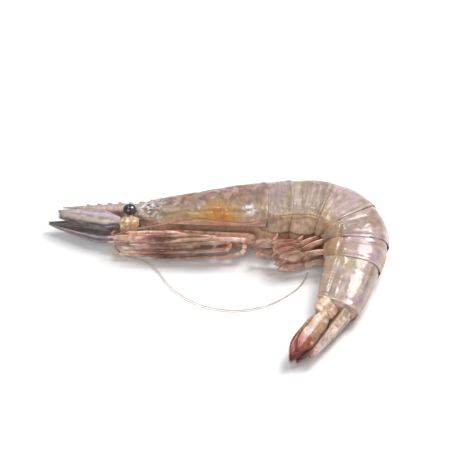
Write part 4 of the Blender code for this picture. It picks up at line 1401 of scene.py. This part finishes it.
def feeler_colour(share, place):
    tint = np.broadcast_to(FEELER_TAN, (*share.shape, 3))
    tint = stain(
        tint,
        (LAVENDER, 0.7 * ramp(cloud(place, 2.0, 160), -0.1, 0.5)),
        (BROWN, 0.5 * ramp(cloud(place, 0.9, 161), 0.2, 0.6)),
    )
    for joint in FEELER_JOINTS:
        tint = stain(tint, (SALMON_DEEP, 0.6 * bump_at(share, joint, 0.03)))
    return tint


for side_name, sign in SIDES:
    stalk = [body(-6.3 - 12 * u, 2.9, sign * 1.25) for u in (0, 0.2, 0.5, 0.9)]
    parts = [limb(stalk, FEELER_RADII, feeler_colour, sides=20, steps=14, joints=FEELER_JOINTS)]
    for rise, apart, end in ((0.25, 0.22, -25.0), (-0.2, -0.22, -24.2)):
        whip = [
            body(-16.6, 2.9 + rise, sign * 1.2),
            body(-19.0, 2.95 + rise, sign * (1.15 + apart)),
            body(-21.5, 3.0 + rise, sign * (1.05 + apart)),
            body(end, 3.2 + rise * 0.6, sign * (0.9 + apart)),
        ]
        parts.append(limb(whip, FEELER_WHIP_RADII, salmon((), 170), sides=10, steps=12))
    dress(f"small_feeler_{side_name}", parts, LIMB_FINISH, "limb", f"antennule_{side_name}")


# The roots of the long feelers and their scales.
# On each side a knobbly three-part root carries the long whip and a broad oval scale, which is thin
# shell stiffened by a rib along its outer edge, with a fringe of hairs on the other.

# Each scale: how far it reaches, how low its root lies, its lean in degrees, its half width, how much
# it narrows and the colour of its middle. The right scale's middle is the left one's colour darkened as
# painted shade, since it lies low under the head
SCALE_SHAPES = {
    "left": (26.0, -3.9, -95, 3.9, 0.62, linear(184, 168, 158)),
    "right": (29.0, -3.2, 60, 3.1, 0.84, linear(104, 93, 90)),
}
SCALE_START = 7.8
SCALE_PURPLE = linear(70, 58, 66)
SCALE_STREAK = linear(126, 116, 102)
SCALE_TIP = linear(110, 102, 88)
SCALE_HAIR = linear(150, 132, 118)
RIB_LILAC = linear(214, 204, 214)
PLUM = linear(172, 152, 168)
KNOB_TAN = linear(196, 164, 128)
KNOB_OCHRE = linear(206, 150, 62)
KNOB_WHITE = linear(232, 222, 206)
KNOB_DARK = linear(84, 66, 54)
KNOB_JOINTS = (0.36, 0.7)


def root_colour(share, place):
    tint = np.broadcast_to(KNOB_TAN, (*share.shape, 3))
    return stain(
        tint,
        (KNOB_OCHRE, 0.7 * ramp(cloud(place, 1.6, 180), 0.0, 0.5)),
        (KNOB_WHITE, 0.8 * ramp(cloud(place, 1.0, 181), 0.2, 0.5)),
        (KNOB_DARK, 0.6 * ramp(cloud(place, 0.9, 182), 0.3, 0.6)),
        (SALMON_DEEP, sum(0.4 * bump_at(share, joint, 0.05) for joint in KNOB_JOINTS)),
    )


def scale_relief(u, wide):
    return (
        0.34 * bump_at(wide, -0.42, 0.09) * (1 - 0.6 * u) + 0.22 * bump_at(wide, 0.9, 0.1)
        + 0.05 * np.cos(np.arcsin(np.clip(wide, -1, 1)) * 22) * ramp(np.array(u), 0.1, 0.5)
    )


def scale_colour(middle):
    """Mauve along the upper edge, grey-green down the middle, nearly black along the lower edge."""
    def colour(u, wide, place):
        tint = np.broadcast_to(middle, (*u.shape, 3))
        across = wide + 0.16 * cloud(place * (0.3, 1, 1), 2.0, 190)
        tint = stain(tint, (PLUM, 0.85 * (1 - ramp(across, -0.6, -0.05))))
        seam = bump_at(across, -0.05, 0.07) * ramp(cloud(place * (0.2, 1, 1), 1.6, 192), -0.4, 0.3)
        return stain(
            tint,
            (SCALE_PURPLE, 0.45 * seam),
            (RIB_LILAC, 0.6 * bump_at(across, -0.42, 0.10)),
            (SCALE_PURPLE, 0.95 * ramp(across - 0.2 * u + 0.2, 0.44, 0.84)),
            (SCALE_STREAK, 0.5 * ramp(cloud(place * (0.25, 1, 1), 0.9, 191), 0.1, 0.5)),
            (SCALE_TIP, 0.55 * ramp(u, 0.8, 1.0)),
        )

    return colour


SCALES = []
for side_name, sign in SIDES:
    base = [body(-3.0 - 4.4 * u, -4.0 - 0.4 * u, sign * 2.9) for u in (0, 0.35, 0.7, 1.0)]
    knobs = limb(base, (1.7, 2.2, 2.3, 1.8), root_colour, sides=36, steps=16, joints=KNOB_JOINTS)
    points = knobs["points"]
    lumps = 0.22 * cloud(points / MM, 1.1, 183) * MM
    out = unit(points - points.mean(1, keepdims=True))
    knobs["points"] = above_board(points + out * lumps[..., None])
    dress(f"feeler_root_{side_name}", [knobs], LIMB_FINISH, "limb", f"antenna_base_{side_name}")

    reach, root, lean, half, narrowing, middle = SCALE_SHAPES[side_name]
    share = np.linspace(0, 1, 84)
    run = reach - SCALE_START
    narrowing = narrowing * (np.maximum(share - 0.3, 0) / 0.7) ** 1.6
    scale = blade(
        [(-SCALE_START - run * u, root * (1 - u) + u, sign * (3.7 - 1.4 * u)) for u in share],
        half * np.minimum(1, 0.5 + 2 * share) * (1 - narrowing),
        0.5, lean, 0.5, 0.25, scale_relief, scale_colour(middle), cols=64,
    )
    dress(f"feeler_scale_{side_name}", [scale], SHELL_FINISH, "shell", f"antennal_scale_{side_name}")
    SCALES.append(scale)
fringe = []
for scale in SCALES:
    fringe += edge_hairs(scale, (32,), 0.12, 0.98, 0.00022, 0.8, 0.7)
    fringe += end_hairs(scale, 0.0002, 0.6)
hair_row("scale_fringe", fringe, 0.00005, SCALE_HAIR)


# The long whips.
# Two hair-thin feelers of hundreds of tiny rings. One lies back over the flank, the other loops out
# over the board. Each ring is one small cone, set again and again along the whip.

WHIP_FRONT, WHIP_DORSAL, WHIP_REACH = -7.7, -4.8, 2.9
WHIP_COLOURS = {"left": linear(176, 122, 102), "right": linear(214, 196, 178)}
WHIP_DARK = linear(140, 96, 80)
RING_SIDES, RING_SPACING, RING_OVERLAP = 10, 0.00042, 1.25
RING_LOW_RADIUS, RING_HIGH_RADIUS = 0.00108, 0.00086
# Stations and degrees on the flank, and places on the board, that the two whips run through
FLANK_STOPS = ((21, 131), (29.5, 136), (36, 129), (43, 121), (50, 119), (56.5, 122), (61.5, 127),
               (65, 134))
BOARD_STOPS = ((-22.2, -13.2), (-16.2, -22.0), (-8.4, -28.2), (1.2, -30.8), (10.8, -29.4), (18.2, -25.0),
               (22.6, -20.4), (24.2, -16.4))
WHIP_FINISH = wet_finish(
    "whip_skin", rough=(0.25, 0.45), gloss=0.6, flesh=0.1, flesh_reach=0.0003, mottle=0.3, relief=0.00001
)


def ring_tree():
    """Sets a ring on a path at every Spacing, sized by the path's "girth" and coloured by its tint."""
    tree, identifiers, given, result = growing_tree(
        "ringed_whip", Spacing="NodeSocketFloat", Finish="NodeSocketMaterial"
    )
    link = tree.links.new
    path = add_node(tree, "GeometryNodeMeshToCurve")
    spots = add_node(tree, "GeometryNodeCurveToPoints", mode="LENGTH")
    link(given.outputs["Geometry"], path.inputs["Mesh"])
    link(path.outputs["Curve"], spots.inputs["Curve"])
    link(given.outputs["Spacing"], spots.inputs["Length"])
    ring = add_node(tree, "GeometryNodeMeshCone", Vertices=RING_SIDES)
    ring.inputs["Radius Bottom"].default_value = RING_LOW_RADIUS
    ring.inputs["Radius Top"].default_value = RING_HIGH_RADIUS
    tall = add_node(tree, "ShaderNodeMath", operation="MULTIPLY")
    tall.inputs[1].default_value = RING_OVERLAP
    link(given.outputs["Spacing"], tall.inputs[0])
    link(tall.outputs["Value"], ring.inputs["Depth"])
    girth = add_node(tree, "GeometryNodeInputNamedAttribute", data_type="FLOAT", Name="girth")
    size = add_node(tree, "ShaderNodeCombineXYZ", Z=1.0)
    link(girth.outputs["Attribute"], size.inputs["X"])
    link(girth.outputs["Attribute"], size.inputs["Y"])
    rings = add_node(tree, "GeometryNodeInstanceOnPoints")
    link(spots.outputs["Points"], rings.inputs["Points"])
    link(spots.outputs["Rotation"], rings.inputs["Rotation"])
    link(ring.outputs["Mesh"], rings.inputs["Instance"])
    link(size.outputs["Vector"], rings.inputs["Scale"])
    grown_out(tree, rings, given, result)
    return tree, identifiers


RING_TREE, RING_INPUTS = ring_tree()


def on_flank(s, degrees, lift):
    """A point this many millimetres off the shell."""
    angle = math.radians(degrees)
    dorsal, left = skin(s, angle)
    return body(s, dorsal + lift * math.cos(angle), left + lift * math.sin(angle))


WHIPS = {
    "left": (
        [
            body(WHIP_FRONT, WHIP_DORSAL, WHIP_REACH - 1.0),
            body(WHIP_FRONT - 2.2, WHIP_DORSAL - 2.0, WHIP_REACH - 0.9),
            body(WHIP_FRONT - 2.0, WHIP_DORSAL - 5.4, WHIP_REACH + 1.6),
            body(WHIP_FRONT + 3.0, -10.2, 6.6),
            body(6.0, -8.8, 7.4),
            on_flank(14.0, 128, 1.2),
        ] + [on_flank(s, degrees, 0.85) for s, degrees in FLANK_STOPS],
        [0.45, 0.42] + [0.21 * (1.25 - 0.05 * k) for k in range(12)],
    ),
    "right": (
        [
            body(WHIP_FRONT, WHIP_DORSAL, 1.0 - WHIP_REACH),
            body(WHIP_FRONT - 2.0, WHIP_DORSAL - 2.2, 0.8 - WHIP_REACH),
            body(WHIP_FRONT + 0.2, WHIP_DORSAL - 5.0, -WHIP_REACH - 1.5),
        ] + [on_plan(x, y, 0.35 * MM) for x, y in BOARD_STOPS],
        [0.45, 0.40, 0.28] + [0.16] * 8,
    ),
}
for side_name, (stops, radii) in WHIPS.items():
    route = smooth_route(stops, 14)
    girth = np.interp(np.linspace(0, 1, len(route)), np.linspace(0, 1, len(radii)), radii)
    mesh = bpy.data.meshes.new(f"whip_path_{side_name}")
    mesh.from_pydata(route.tolist(), [(k, k + 1) for k in range(len(route) - 1)], [])
    mesh.attributes.new("girth", "FLOAT", "POINT").data.foreach_set("value", girth)
    worn = 0.45 * ramp(cloud(route / MM, 3.0, 240), -0.2, 0.5)
    tint_mesh(mesh, stain(np.broadcast_to(WHIP_COLOURS[side_name], (len(route), 3)), (WHIP_DARK, worn)))
    whip = grown(f"long_whip_{side_name}", mesh, RING_TREE,
                 {RING_INPUTS["Spacing"]: RING_SPACING, RING_INPUTS["Finish"]: WHIP_FINISH})
    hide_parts(f"antenna_whip_{side_name}")
